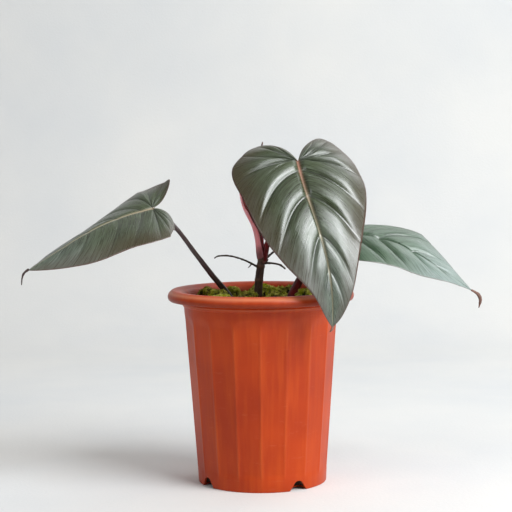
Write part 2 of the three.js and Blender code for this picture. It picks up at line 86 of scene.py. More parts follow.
def bentLine(a, b, c, count):
    # a quadratic Bezier from a to c, drawn towards b
    t = np.linspace(0, 1, count)[:, None]
    return (1 - t) ** 2 * a + 2 * t * (1 - t) * b + t ** 2 * c


def lengthAlong(line):
    # the length of a line up to each of its points
    return np.r_[0, np.cumsum(np.linalg.norm(np.diff(line, axis=0), axis=1))]


def smoothThrough(values, t):
    # even Catmull-Rom through values, read at shares t from 0 to 1
    p = np.asarray(values, float)
    last = len(p) - 1
    s = np.clip(np.asarray(t, float), 0, 1) * last
    i = np.minimum(s.astype(int), last - 1)
    w = s - i
    if p.ndim > 1:
        w = w[..., None]
    a, b = p[np.maximum(i - 1, 0)], p[i]
    c, d = p[i + 1], p[np.minimum(i + 2, last)]
    va, vb = (c - a) / 2, (d - b) / 2
    return (2 * b - 2 * c + va + vb) * w ** 3 + (3 * c - 3 * b - 2 * va - vb) * w ** 2 + va * w + b


def pathThrough(points, count):
    # centripetal Catmull-Rom through points, then count points an equal length apart
    p = np.asarray(points, float)
    p = np.vstack([2 * p[0] - p[1], p, 2 * p[-1] - p[-2]])
    knot = np.r_[0, np.cumsum(np.sqrt(np.linalg.norm(np.diff(p, axis=0), axis=1)))]
    t = np.linspace(knot[1], knot[-2], 500)
    i = np.clip(np.searchsorted(knot, t, side="right") - 1, 1, len(p) - 3)
    k = [knot[i + step][:, None] for step in (-1, 0, 1, 2)]
    t = t[:, None]

    def blend(a, b, ka, kb):
        return (kb - t) / (kb - ka) * a + (t - ka) / (kb - ka) * b

    a = [blend(p[i + step - 1], p[i + step], k[step], k[step + 1]) for step in (0, 1, 2)]
    line = blend(blend(a[0], a[1], k[0], k[2]), blend(a[1], a[2], k[1], k[3]), k[1], k[2])
    run = lengthAlong(line)
    even = np.linspace(0, run[-1], count)
    return np.stack([np.interp(even, run, line[:, axis]) for axis in range(3)], axis=-1)


def wobble(points, seed, size, octaves=3):
    # sum of sines along seeded directions, about -1 to 1; size is the widest wave in metres,
    # and each octave is 1.9 times finer and 0.55 times as strong
    rng = np.random.default_rng(seed)
    total, share = 0.0, 1.0
    for octave in range(octaves):
        ways = unit(rng.normal(size=(7, 3))) * (2 * np.pi / size) * 1.9 ** octave
        phases = rng.uniform(0, 2 * np.pi, 7)
        total = total + share * np.sin(points @ ways.T + phases).mean(axis=-1) * 2.2
        share *= 0.55
    return total / 1.6


def gridFaces(rows, columns, around=False, start=0):
    # four-sided faces of a grid of points, joined round the columns if asked
    i, j = np.meshgrid(np.arange(rows - 1), np.arange(columns - (not around)), indexing="ij")
    k = (j + 1) % columns
    faces = np.stack([i * columns + j, i * columns + k, (i + 1) * columns + k, (i + 1) * columns + j], -1)
    return faces.reshape(-1, 4) + start


def linked(name, data):
    # an object in the scene for a mesh, a lamp or the camera
    piece = bpy.data.objects.new(name, data)
    bpy.context.scene.collection.objects.link(piece)
    return piece


def meshPiece(name, points, faces, facts=None, weld=1e-6, smooth=True, crease=None):
    # one object from points and faces, its doubles merged and its faces turned outwards;
    # facts are values kept on the points for the finish
    mesh = bpy.data.meshes.new(name)
    points = np.asarray(points, float).reshape(-1, 3)
    faces = np.asarray(faces)
    mesh.vertices.add(len(points))
    mesh.vertices.foreach_set("co", points.ravel())
    mesh.loops.add(faces.size)
    mesh.loops.foreach_set("vertex_index", faces.ravel())
    mesh.polygons.add(len(faces))
    mesh.polygons.foreach_set("loop_start", np.arange(len(faces)) * faces.shape[1])
    for fact, values in (facts or {}).items():
        values = np.asarray(values, float)
        flat = values.size == len(points)
        kind = ("FLOAT", "value") if flat else ("FLOAT_VECTOR", "vector")
        mesh.attributes.new(fact, kind[0], "POINT").data.foreach_set(kind[1], values.ravel())
    mesh.update(calc_edges=True)
    if weld:
        shape = bmesh.new()
        shape.from_mesh(mesh)
        bmesh.ops.remove_doubles(shape, verts=shape.verts, dist=weld)
        bmesh.ops.dissolve_degenerate(shape, edges=shape.edges, dist=weld / 2)
        if shape.calc_volume(signed=True) < 0:
            bmesh.ops.reverse_faces(shape, faces=shape.faces)
        shape.to_mesh(mesh)
        shape.free()
    mesh.polygons.foreach_set("use_smooth", np.full(len(mesh.polygons), smooth))
    if crease:
        mesh.set_sharp_from_angle(angle=np.radians(crease))
    return linked(name, mesh)


def settle(piece, finish, slot, *nodes):
    # gives a piece its finish and its body, and hides the nodes it stands for; the slot is not used
    piece.data.materials.clear()
    piece.data.materials.append(finish)
    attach(piece, "root")
    if nodes:
        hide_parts(*nodes)
    return piece


def tint(red, green, blue):
    # a colour as seen on a screen, 0 to 255, made linear
    share = np.array([red, green, blue]) / 255
    linear = np.where(share > 0.04045, ((share + 0.055) / 1.055) ** 2.4, share / 12.92)
    return (*linear.tolist(), 1.0)


# finishes

class Signal:
    # a socket on its way through a finish; sums and products on it become Math nodes
    def __init__(self, finish, socket):
        self.finish = finish
        self.socket = socket

    def __add__(self, other):
        return self.finish.add("ShaderNodeMath", {"operation": "ADD"}, {0: self, 1: other})

    def __mul__(self, other):
        return self.finish.add("ShaderNodeMath", {"operation": "MULTIPLY"}, {0: self, 1: other})

    __radd__ = __add__
    __rmul__ = __mul__


class Finish:
    # one material, or the world, with its nodes added one at a time
    def __init__(self, name, store=bpy.data.materials):
        self.owner = store.new(name)
        self.owner.use_nodes = True
        self.tree = self.owner.node_tree
        self.tree.nodes.clear()

    def add(self, kind, settings=None, inputs=None, output=0):
        # a node of this type: its settings first, then the values or links of its sockets
        node = self.tree.nodes.new(kind)
        for key, value in (settings or {}).items():
            setattr(node, key, value)
        for key, value in (inputs or {}).items():
            if isinstance(value, Signal):
                self.tree.links.new(value.socket, node.inputs[key])
            else:
                node.inputs[key].default_value = value
        return Signal(self, node.outputs[output]) if node.outputs else None

    def place(self):
        return self.add("ShaderNodeTexCoord", output="Object")

    def fact(self, name, output="Fac"):
        return self.add("ShaderNodeAttribute", {"attribute_name": name}, output=output)

    def stretched(self, vector, scale):
        return self.add("ShaderNodeMapping", None, {"Vector": vector, "Scale": scale})

    def noise(self, vector, scale, detail=3.0, roughness=0.55):
        values = {"Vector": vector, "Scale": scale, "Detail": detail, "Roughness": roughness}
        return self.add("ShaderNodeTexNoise", None, values)

    def cells(self, vector, scale):
        return self.add("ShaderNodeTexVoronoi", None, {"Vector": vector, "Scale": scale})

    def between(self, signal, low, high, start=0.0, end=1.0):
        # start where the signal is low, end where it is high, held outside
        return self.add("ShaderNodeMapRange", None, {0: signal, 1: low, 2: high, 3: start, 4: end})

    def mix(self, amount, first, second):
        # a blend of two tones, each a signal or a colour as tint takes it
        first, second = (tone if isinstance(tone, Signal) else tint(*tone) for tone in (first, second))
        return self.add("ShaderNodeMix", {"data_type": "RGBA"}, {0: amount, 6: first, 7: second}, output=2)

    def surface(self, colour, roughness, relief, reliefSize, fixed=None):
        # the outer shader; fixed are values that are the same all over
        bump = self.add("ShaderNodeBump", None, {"Height": relief, "Distance": reliefSize, "Strength": 1.0})
        values = {"Base Color": colour, "Roughness": roughness, "Normal": bump, **(fixed or {})}
        shader = self.add("ShaderNodeBsdfPrincipled", None, values)
        self.add("ShaderNodeOutputMaterial", None, {"Surface": shader})
        return self.owner


def pottedPlastic():
    # terracotta plastic: cloudy red-orange with faint streaks down the wall and fine scuffs, a painted
    # highlight on the ridges, on the rounded top of the rim and on the bead below it, painted shade on the
    # rim's lower face, soil stained inside
    f = Finish("terracottaPlastic")
    place = f.place()
    cloud = f.noise(place, 14, 2)
    streak = f.noise(f.stretched(place, (1, 1, 0.06)), 170, 3)
    grain = f.noise(place, 900, 2)
    scuff = f.between(f.noise(f.stretched(place, (1, 1, 5)), 60, 5, 0.7), 0.6, 0.74)
    soiled = f.fact("soiled")
    colour = f.mix(f.between(cloud, 0.35, 0.65), (162, 48, 4), (182, 60, 6))
    colour = f.mix(f.between(streak, 0.45, 0.7, 0, 0.3), colour, (200, 82, 20))
    # painted highlight: the ridges are made paler
    colour = f.mix(f.fact("ridge") * f.between(streak, 0.3, 0.6, 0.04, 0.24), colour, (210, 98, 42))
    colour = f.mix(scuff * 0.1, colour, (220, 150, 118))
    # painted highlight: a paler band round the rounded top of the rim and a thin one on the bead
    colour = f.mix(f.fact("crest") * f.between(scuff, 0, 1, 0.55, 0.8), colour, (228, 146, 108))
    # painted shade: the rim's lower face is darkened
    colour = f.mix(f.fact("lip") * 0.6, colour, (112, 34, 4))
    colour = f.mix(soiled * f.between(cloud, 0.3, 0.6, 0.3, 0.9), colour, (84, 44, 28))
    roughness = f.between(streak, 0.3, 0.7, 0.36, 0.46) + scuff * 0.12 + soiled * 0.2
    relief = streak * 0.35 + grain * 0.12 + cloud * 0.5
    return f.surface(colour, roughness, relief, 0.0004, {"IOR": 1.34})


def peatyMix():
    # potting mix: dark brown clods with paler fibres and a few light grains
    f = Finish("peatyMix")
    place = f.place()
    clod = f.cells(place, 420)
    fibre = f.noise(f.stretched(place, (1, 0.25, 1)), 700, 4, 0.7)
    pick = f.fact("pick")
    colour = f.mix(f.between(fibre, 0.35, 0.7), (38, 24, 15), (92, 62, 38))
    colour = f.mix(f.between(pick, 0.55, 0.9, 0, 0.8), colour, (128, 92, 56))
    colour = f.mix(f.between(pick, 0.93, 0.95), colour, (214, 206, 190))
    return f.surface(colour, 0.92, clod * 0.6 + fibre * 0.5, 0.0015)


def mossFinish():
    # moss: dark olive at the base of each shoot, yellow green at its tips, shoots differ; the tip fact also
    # carries painted shade, darker in the hollows between lumps
    f = Finish("mossGreen")
    place = f.place()
    pick = f.fact("pick")
    patch = f.noise(place, 210, 3)
    young = f.mix(f.between(patch, 0.42, 0.6), (172, 178, 20), (255, 250, 130))
    young = f.mix(f.between(pick, 0.45, 0.85, 0, 0.85), young, (88, 98, 12))
    young = f.mix(f.between(pick, 0.95, 0.97), young, (142, 112, 60))
    colour = f.mix(f.between(f.fact("tip"), 0.25, 0.8), (24, 27, 2), young)
    grain = f.noise(place, 1500, 2)
    return f.surface(colour, 0.85, grain, 0.0004, {"Specular IOR Level": 0.25})


def leafFinish(name, **tones):
    # leaf skin: clouded grey green, fine streaks, broad lighter and darker bands along the veins that are a
    # painted sheen, painted shade in the sunk veins, a brown flush towards the edge that is partly the leaf's
    # own browning and partly painted shade, a browned margin, a painted highlight that makes the tip silvery,
    # a rib that pales from pink, a wine-red underside
    f = Finish(name)
    place = f.place()
    weave = f.fact("weave", "Vector")
    cloud = f.noise(place, 38, 3)
    streak = f.noise(f.stretched(weave, (1, 0.05, 1)), 6, 4, 0.65)
    silkAndPaintedSheen = f.noise(f.stretched(weave, (1, 0.1, 1)), 1.7, 5, 0.7)
    speck = f.noise(place, 1400, 2)
    vein = f.fact("vein")
    # painted highlight: the tip half is lightened to a silvery grey
    silver = f.fact("tipward") * f.between(silkAndPaintedSheen, 0.4, 0.6, 0.4, 1) * tones["silver"]
    green = f.mix(f.between(cloud, 0.3, 0.7), tones["deep"], tones["light"])
    green = f.mix(f.between(streak, 0.46, 0.66, 0, 0.75), green, tones["streak"])
    # painted sheen: broad bands along the veins are lightened, and darkened between them
    green = f.mix(f.between(silkAndPaintedSheen, 0.52, 0.7, 0, 0.55), green, tones["streak"])
    green = f.mix(f.between(silkAndPaintedSheen, 0.48, 0.34, 0, 0.6), green, tones["vein"])
    # a brown flush towards the edge, partly the leaf's own browning and partly painted shade
    green = f.mix(f.fact("edge") * tones["browned"], green, (54, 39, 4))
    green = f.mix(silver, green, (186, 200, 204))
    # painted shade: the sunk veins are darkened
    green = f.mix(vein * 0.75, green, tones["vein"])
    green = f.mix(f.fact("margin") * 0.85, green, tones["margin"])
    green = f.mix(f.fact("rib"), green, f.mix(f.fact("pink"), tones["rib"], tones["pink"]))
    wine = f.mix(f.between(cloud, 0.3, 0.7), (72, 30, 30), (104, 50, 44))
    wine = f.mix(vein * 0.6, wine, (132, 62, 56))
    colour = f.mix(f.fact("under"), green, wine)
    roughness = f.between(silkAndPaintedSheen, 0.36, 0.66, tones["gloss"], tones["gloss"] + 0.22) + speck * 0.04
    relief = streak * 0.6 + silkAndPaintedSheen * 0.7 + speck * 0.1
    return f.surface(colour, roughness, relief, 0.00016, {"IOR": tones["ior"]})


def limbFinish(name, gloss, coarse=1.0, ior=1.5, **tones):
    # stalk skin: tones clouded along the limb, long fibres, small pale flecks
    f = Finish(name)
    straight = f.fact("straight", "Vector")
    fibre = f.noise(f.stretched(straight, (1, 1, 0.12)), 900 / coarse, 4, 0.65)
    cloud = f.noise(f.stretched(straight, (1, 1, 0.4)), 130 / coarse, 3)
    fleck = f.between(f.cells(f.stretched(straight, (1, 1, 0.5)), 620 / coarse), 0.16, 0.1)
    colour = f.mix(f.between(fibre, 0.35, 0.68), tones["deep"], tones["light"])
    colour = f.mix(f.between(cloud, 0.5, 0.66, 0, 0.75), colour, tones["flush"])
    colour = f.mix(f.fact("node"), colour, tones["node"])
    colour = f.mix(fleck * tones["flecks"], colour, tones["fleck"])
    colour = f.mix(f.fact("along") * tones["fade"], colour, tones["end"])
    roughness = f.between(cloud, 0.3, 0.7, gloss, gloss + 0.14)
    return f.surface(colour, roughness, fibre * 0.7 + cloud * 0.4, 0.0005 * coarse, {"IOR": ior})


def sheathFinish():
    # papery sheath: rose pink with long parallel veins, dark keel and base, pale dry margin
    f = Finish("sheathRose")
    veins = f.noise(f.stretched(f.fact("weave", "Vector"), (1, 0.03, 1)), 26, 3, 0.6)
    cloud = f.noise(f.place(), 70, 3)
    colour = f.mix(f.between(veins, 0.35, 0.65), (244, 122, 134), (255, 186, 190))
    colour = f.mix(f.between(cloud, 0.5, 0.7, 0, 0.4), colour, (190, 76, 82))
    colour = f.mix(f.fact("keel"), colour, (96, 44, 46))
    colour = f.mix(f.fact("margin") * 0.6, colour, (150, 62, 72))
    return f.surface(colour, f.between(veins, 0.3, 0.7, 0.34, 0.5), veins + cloud * 0.3, 0.0004,
                     {"IOR": 1.5, "Subsurface Weight": 0.5, "Subsurface Radius": (0.004, 0.0015, 0.001)})


finishes = {
    "pot": pottedPlastic(),
    "mix": peatyMix(),
    "moss": mossFinish(),
    "leaf": leafFinish(
        "leafDark", deep=(29, 36, 5), light=(43, 55, 16), streak=(88, 102, 80), vein=(10, 12, 2),
        margin=(84, 40, 28), rib=(160, 150, 124), pink=(160, 112, 94), gloss=0.2, ior=1.82,
        browned=0.75, silver=0.12),
    "paleLeaf": leafFinish(
        "leafPale", deep=(32, 58, 34), light=(52, 80, 54), streak=(96, 122, 98), vein=(14, 36, 16),
        margin=(64, 60, 46), rib=(24, 56, 28), pink=(60, 84, 48), gloss=0.22, ior=1.78,
        browned=0.0, silver=0.42),
    "bark": limbFinish(
        "stemBark", 0.5, 1.2, deep=(36, 22, 14), light=(96, 70, 50), flush=(54, 30, 20),
        node=(104, 74, 52), fleck=(128, 104, 84), flecks=0.6, end=(60, 26, 24), fade=0.35),
    "petiole": limbFinish(
        "petioleSkin", 0.3, deep=(30, 19, 19), light=(66, 46, 44), flush=(74, 34, 34),
        node=(70, 34, 32), fleck=(130, 108, 100), flecks=0.4, end=(78, 44, 42), fade=0.3),
    "redPetiole": limbFinish(
        "petioleWine", 0.34, ior=1.35, deep=(60, 8, 10), light=(126, 20, 24), flush=(160, 26, 34),
        node=(70, 34, 32), fleck=(150, 90, 84), flecks=0.3, end=(60, 30, 26), fade=0.3),
    "spear": limbFinish(
        "rolledLeaf", 0.4, deep=(82, 40, 38), light=(128, 72, 62), flush=(150, 66, 70),
        node=(60, 30, 28), fleck=(150, 110, 96), flecks=0.15, end=(60, 34, 30), fade=0.6),
    "root": limbFinish(
        "rootSkin", 0.62, 0.6, deep=(26, 19, 18), light=(64, 48, 44), flush=(50, 32, 26),
        node=(60, 46, 40), fleck=(130, 112, 100), flecks=0.5, end=(96, 80, 66), fade=0.5),
    "dried": limbFinish(
        "driedTip", 0.6, 0.6, deep=(92, 62, 52), light=(150, 112, 98), flush=(70, 40, 34),
        node=(80, 50, 40), fleck=(170, 140, 120), flecks=0.4, end=(60, 36, 30), fade=0.4),
    "sheath": sheathFinish(),
}
print("finishes made:", len(finishes))


# pot

pot = dict(
    ridges=18, ridgeTurn=-90.8, ridgeProud=mm(0.22), ridgeWidth=mm(1.3), panelDrop=0.95,
    columnsPerRidge=36, footShare=0.689, topShare=0.8311, wall=mm(1.9), floor=mm(2.6), rimDepth=mm(10.5),
    bead=mm(1.2), archBelowRim=mm(17.4), archRise=mm(6.6), bandTop=mm(13),
    notches=4, notchTurn=33, notchFoot=mm(20), notchHead=mm(8), notchHeight=mm(9.5),
)


def roundedLine(corners):
    # straight runs between corners (radius, height, rounding), each corner a small curve
    corners = np.array(corners, float)
    p, reach = corners[:, :2], corners[:, 2:]
    line = [p[:1]]
    for i in range(1, len(p) - 1):
        a = p[i] + unit(p[i - 1] - p[i]) * reach[i]
        b = p[i] + unit(p[i + 1] - p[i]) * reach[i]
        line.append(bentLine(a, p[i], b, 5))
    return np.vstack(line + [p[-1:]])


def potSurface(o):
    # a profile carried round the axis; outside, between the foot band and the arches, the radius
    # drops to a chord from ridge to ridge, and a narrow ridge stands at each end of the chord
    low, high = cornersOf("pot")
    rim, top = (high[0] - low[0]) / 2, high[2]
    foot, neck = rim * o["footShare"], rim * o["topShare"]
    rimFoot = top - o["rimDepth"]

    def outer(z):
        return foot + (neck - foot) * z / rimFoot

    wall, bead = o["wall"], o["bead"]
    corners = [
        (0, mm(1.2), 0), (foot - mm(4), mm(1.2), mm(1)), (foot - mm(3), 0, mm(0.5)),
        (foot, 0, mm(0.9)), (outer(o["bandTop"]), o["bandTop"], mm(1)),
        (outer(rimFoot - mm(5.6)), rimFoot - mm(5.6), mm(0.3)),
        (outer(rimFoot - mm(4.9)) + bead, rimFoot - mm(4.9), mm(0.5)),
        (outer(rimFoot - mm(2.6)) + bead, rimFoot - mm(2.6), mm(0.6)),
        (neck + mm(0.5), rimFoot - mm(0.6), mm(0.8)), (rim - mm(4.2), rimFoot + mm(0.7), mm(0.6)),
        (rim - mm(1.9), rimFoot, mm(0.5)), (rim - mm(0.5), rimFoot + mm(1.6), mm(1)),
        (rim, rimFoot + mm(4.4), mm(1.3)), (rim - mm(1), top - mm(3.2), mm(1.3)),
        (rim - mm(4.4), top, mm(1.6)),
        (neck + mm(5), top - mm(0.5), mm(2.5)), (neck, top - mm(3.4), mm(1.6)),
        (neck - wall, top - mm(8), mm(1.5)),
        (outer(o["floor"]) - wall, o["floor"], mm(1)), (0, o["floor"], 0),
    ]
    line = roundedLine(corners)
    run = lengthAlong(line)
    # rows: every corner point, and more along the wall where the band and the arches are
    wallRows = np.concatenate([np.arange(mm(9), mm(18), mm(1.1)), np.arange(mm(22), mm(150), mm(7)),
                               np.arange(mm(151), rimFoot - mm(7), mm(0.9))])
    outside = (line[:, 1] >= o["bandTop"]) & (line[:, 1] <= rimFoot - mm(5.5)) & (run < run[-1] * 0.5)
    extra = np.interp(wallRows, line[outside, 1], run[outside])
    at = np.unique(np.round(np.r_[run, extra], 7))
    radius, height = np.interp(at, run, line[:, 0]), np.interp(at, run, line[:, 1])
    onWall = (at > run[outside][0] - mm(6)) & (at < run[outside][-1])

    around = o["ridges"] * o["columnsPerRidge"]
    turn = np.radians(o["ridgeTurn"]) + np.arange(around) * 2 * np.pi / around
    lane = (np.arange(around) % o["columnsPerRidge"]) / o["columnsPerRidge"]
    fromRidge = 0.5 - np.abs(lane - 0.5)                     # 0 at a ridge, 0.5 in a panel's middle
    half = np.pi / o["ridges"]
    z, r = height[:, None], radius[:, None]
    arch = rimFoot - o["archBelowRim"] + o["archRise"] * np.sqrt(1 - (1 - 2 * fromRidge[None]) ** 2)
    inPanel = ease((arch - z) / mm(11)) * ease((z - o["bandTop"] + mm(4)) / mm(9)) * onWall[:, None]
    chord = r * (1 - np.cos(half) / np.cos(half * (1 - 2 * fromRidge[None])))
    away = fromRidge[None] * 2 * half * r
    ridge = bell(away, o["ridgeWidth"])
    r = r - inPanel * (chord * o["panelDrop"] + o["ridgeProud"] * (1 - ridge))
    points = over(r * np.cos(turn), r * np.sin(turn), z)
    points[..., :2] *= 1 + 0.0015 * wobble(points, 3, mm(160), 1)[..., None]
    inside = (at > at[np.argmax(height)])[:, None] & (z < top - mm(4))
    # painted highlight: a bright band round the rounded top of the rim, and a thin one on the bead
    crest = bell(z - top + mm(2.4), mm(1.7)) * (radius[:, None] > rim - mm(4))
    paintedBeadHighlight = 0.7 * bell(z - rimFoot + mm(3.5), mm(0.7))
    # painted shade: the rim's lower face is darkened
    lip = ease((rimFoot + mm(5.5) - z) / mm(3)) * (radius[:, None] > rim - mm(3.2))
    # the ridge fact is a painted highlight along each ridge
    facts = dict(ridge=inPanel * ridge, crest=(crest + paintedBeadHighlight) * ~inside, lip=lip * ~inside,
                 soiled=inside * ease((top - mm(3) - z) / mm(9)))
    facts = {key: np.broadcast_to(value, r.shape) for key, value in facts.items()}
    faces = gridFaces(len(at), around, around=True)
    return meshPiece("potShell", points, faces, facts, crease=50)


def notchCutter(o, turn, grow=0.0):
    # a block with the outline of a drain notch, wide at the ground and arched on top
    half, head, height = o["notchFoot"] / 2 + grow, o["notchHead"] / 2 + grow, o["notchHeight"] + grow
    a, b, c = np.array([[head, height - mm(1.5)], [0, height + mm(1.5)], [-head, height - mm(1.5)]])
    outline = np.vstack([[-half, -mm(1)], [half, -mm(1)], bentLine(a, b, c, 9)])
    low, high = cornersOf("pot")
    foot = (high[0] - low[0]) / 2 * o["footShare"]
    depths = np.array([[foot - mm(9.5)], [foot + mm(6.5)]])
    count = len(outline)
    points = over(outline[:, 0], -depths, outline[:, 1]).reshape(-1, 3)
    angle = np.radians(turn)
    spin = np.array([[np.cos(angle), -np.sin(angle), 0], [np.sin(angle), np.cos(angle), 0], [0, 0, 1]])
    shape = bpy.data.meshes.new("notchCutter")
    caps = [list(range(count))[::-1], list(range(count, 2 * count))]
    shape.from_pydata((points @ spin.T).tolist(), [], gridFaces(2, count, around=True).tolist() + caps)
    fixer = bmesh.new()
    fixer.from_mesh(shape)
    bmesh.ops.recalc_face_normals(fixer, faces=fixer.faces)
    fixer.to_mesh(shape)
    fixer.free()
    return linked("notchCutter", shape)


def cutNotches(piece, o, grow=0.0):
    # takes the drain notches out of a piece, then throws the cutters away
    for i in range(o["notches"]):
        cutter = notchCutter(o, o["notchTurn"] + 360 / o["notches"] * i, grow)
        cut = piece.modifiers.new("notch", "BOOLEAN")
        cut.operation, cut.solver, cut.object = "DIFFERENCE", "EXACT", cutter
        finished = piece.evaluated_get(bpy.context.evaluated_depsgraph_get())
        done = bpy.data.meshes.new_from_object(finished)
        piece.modifiers.clear()
        piece.data = done
        bpy.data.objects.remove(cutter)
    piece.data.set_sharp_from_angle(angle=np.radians(40))
    return piece


potShell = cutNotches(potSurface(pot), pot)
settle(potShell, finishes["pot"], "pot_plastic", "pot")
print("pot made:", len(potShell.data.polygons), "faces")


# potting mix, crumbs and moss

soil = dict(uneven=mm(1.1), lean=12.8 / 175.9, crumbs=1500, crumbSize=(mm(0.5), mm(2.1)),
            carpetShoots=3000, cushionShoots=1150, shootSize=(mm(1.3), mm(2.6)), lumpSize=mm(7),
            lumpDepth=mm(2.1))


def mixSurface(o):
    # a revolved plug whose top rises and falls by a few waves
    low, high = cornersOf("potting_mix")
    reach = (high[0] - low[0]) / 2 - mm(0.3)
    top = high[2] - mm(0.8)
    foot = reach - (top - low[2]) * o["lean"]
    columns, topRow = 180, 20
    r = np.r_[0, np.linspace(0.3, 1, 6) * foot, np.linspace(foot, reach, 14)[1:],
              np.linspace(0.985, 0.02, 60) * reach, 0]
    z = np.r_[np.full(7, low[2]), np.linspace(low[2], top - mm(1.6), 14)[1:], np.full(61, top)]
    z[topRow:] += mm(-1.4) * ease((r[topRow:] / reach - 0.9) * 10)
    turn = np.linspace(0, 2 * np.pi, columns + 1)[:-1]
    points = over(r[:, None] * np.cos(turn), r[:, None] * np.sin(turn), z[:, None])
    isTop = (np.arange(len(r)) >= topRow)[:, None]
    points[..., 2] += isTop * o["uneven"] * wobble(points, 5, mm(26), 4) * 0.8
    facts = dict(pick=np.full(points.shape[:2], 0.3))
    return meshPiece("mixPlug", points, gridFaces(len(r), columns, around=True), facts)


mixPlug = cutNotches(mixSurface(soil), pot, mm(0.3))
settle(mixPlug, finishes["mix"], "potting_mix", "potting_mix")
soilLow, soilHigh = cornersOf("potting_mix")
soilTop, soilReach = soilHigh[2] - mm(0.8), (soilHigh[0] - soilLow[0]) / 2


def scattered(count, rng, reach):
    # points spread evenly over a disc
    r = reach * np.sqrt(rng.uniform(0, 1, count))
    turn = rng.uniform(0, 2 * np.pi, count)
    return r * np.cos(turn), r * np.sin(turn)


def crumbPile(o):
    # each crumb is a small eight-sided lump, squashed and turned at random
    rng = np.random.default_rng(11)
    count = o["crumbs"]
    x, y = scattered(count, rng, soilReach - mm(3))
    size = rng.uniform(*o["crumbSize"], count) * rng.uniform(0.5, 1, count)
    lump = np.array([[1, 0, 0], [0, 1, 0], [-1, 0, 0], [0, -1, 0], [0, 0, 1], [0, 0, -1]], float)
    sides = np.array([[0, 1, 4], [1, 2, 4], [2, 3, 4], [3, 0, 4], [1, 0, 5], [2, 1, 5], [3, 2, 5], [0, 3, 5]])
    shape = lump[None] * rng.uniform(0.55, 1.2, (count, 6, 1)) * rng.uniform(0.5, 1.1, (count, 1, 3))
    turn = rng.uniform(0, 2 * np.pi, count)[:, None]
    spun = over(shape[..., 0] * np.cos(turn) - shape[..., 1] * np.sin(turn),
                shape[..., 0] * np.sin(turn) + shape[..., 1] * np.cos(turn), shape[..., 2])
    points = spun * size[:, None, None] + over(x, y, soilTop + size * 0.3)[:, None]
    faces = sides[None] + 6 * np.arange(count)[:, None, None]
    pick = np.repeat(rng.uniform(0, 1, count), 6)
    return meshPiece("mixCrumbs", points, faces.reshape(-1, 3), dict(pick=pick), weld=0, smooth=False)


settle(crumbPile(soil), finishes["mix"], "potting_mix")


def shoots(places, outward, size, rng, blades=7):
    # each shoot is a rosette of thin spikes that leave one point and lean outwards; a spike has
    # a root, three points round its belly and a tip
    count = len(places)
    around = rng.uniform(0, 2 * np.pi, (count, 1)) + np.arange(blades) * 2 * np.pi / blades
    lean = np.where(np.arange(blades) == 0, 0.15, 1.0) * rng.uniform(0.55, 1.15, (count, blades))
    sideA = unit(np.cross(outward, rng.normal(size=(count, 3))))
    sideB = np.cross(outward, sideA)
    way = (outward[:, None] * np.cos(lean)[..., None]
           + (sideA[:, None] * np.cos(around)[..., None] + sideB[:, None] * np.sin(around)[..., None])
           * np.sin(lean)[..., None])
    length = size[:, None] * rng.uniform(0.6, 1.1, (count, blades))
    flatA = unit(np.cross(way, outward[:, None] + 0.01))
    flatB = np.cross(way, flatA)
    base = np.broadcast_to((places + outward * (size * 0.1)[:, None])[:, None], way.shape)
    thick = (length * 0.3)[..., None]
    spread = [base + thick * (flatA * np.cos(a) + flatB * 0.6 * np.sin(a)) for a in (0, 2.1, 4.2)]
    belly = [p + way * (length * 0.45)[..., None] for p in spread]
    end = base + way * length[..., None] + outward[:, None] * (length * 0.15)[..., None]
    points = np.stack([base, *belly, end], 2)
    sides = np.array([[0, 2, 1], [0, 3, 2], [0, 1, 3], [1, 2, 4], [2, 3, 4], [3, 1, 4]])
    faces = sides[None] + 5 * np.arange(count * blades)[:, None, None]
    tip = np.tile([0.1, 0.55, 0.55, 0.55, 1.0], count * blades)
    pick = np.repeat(rng.uniform(0, 1, count), blades * 5)
    return points.reshape(-1, 3), faces.reshape(-1, 3), tip, pick


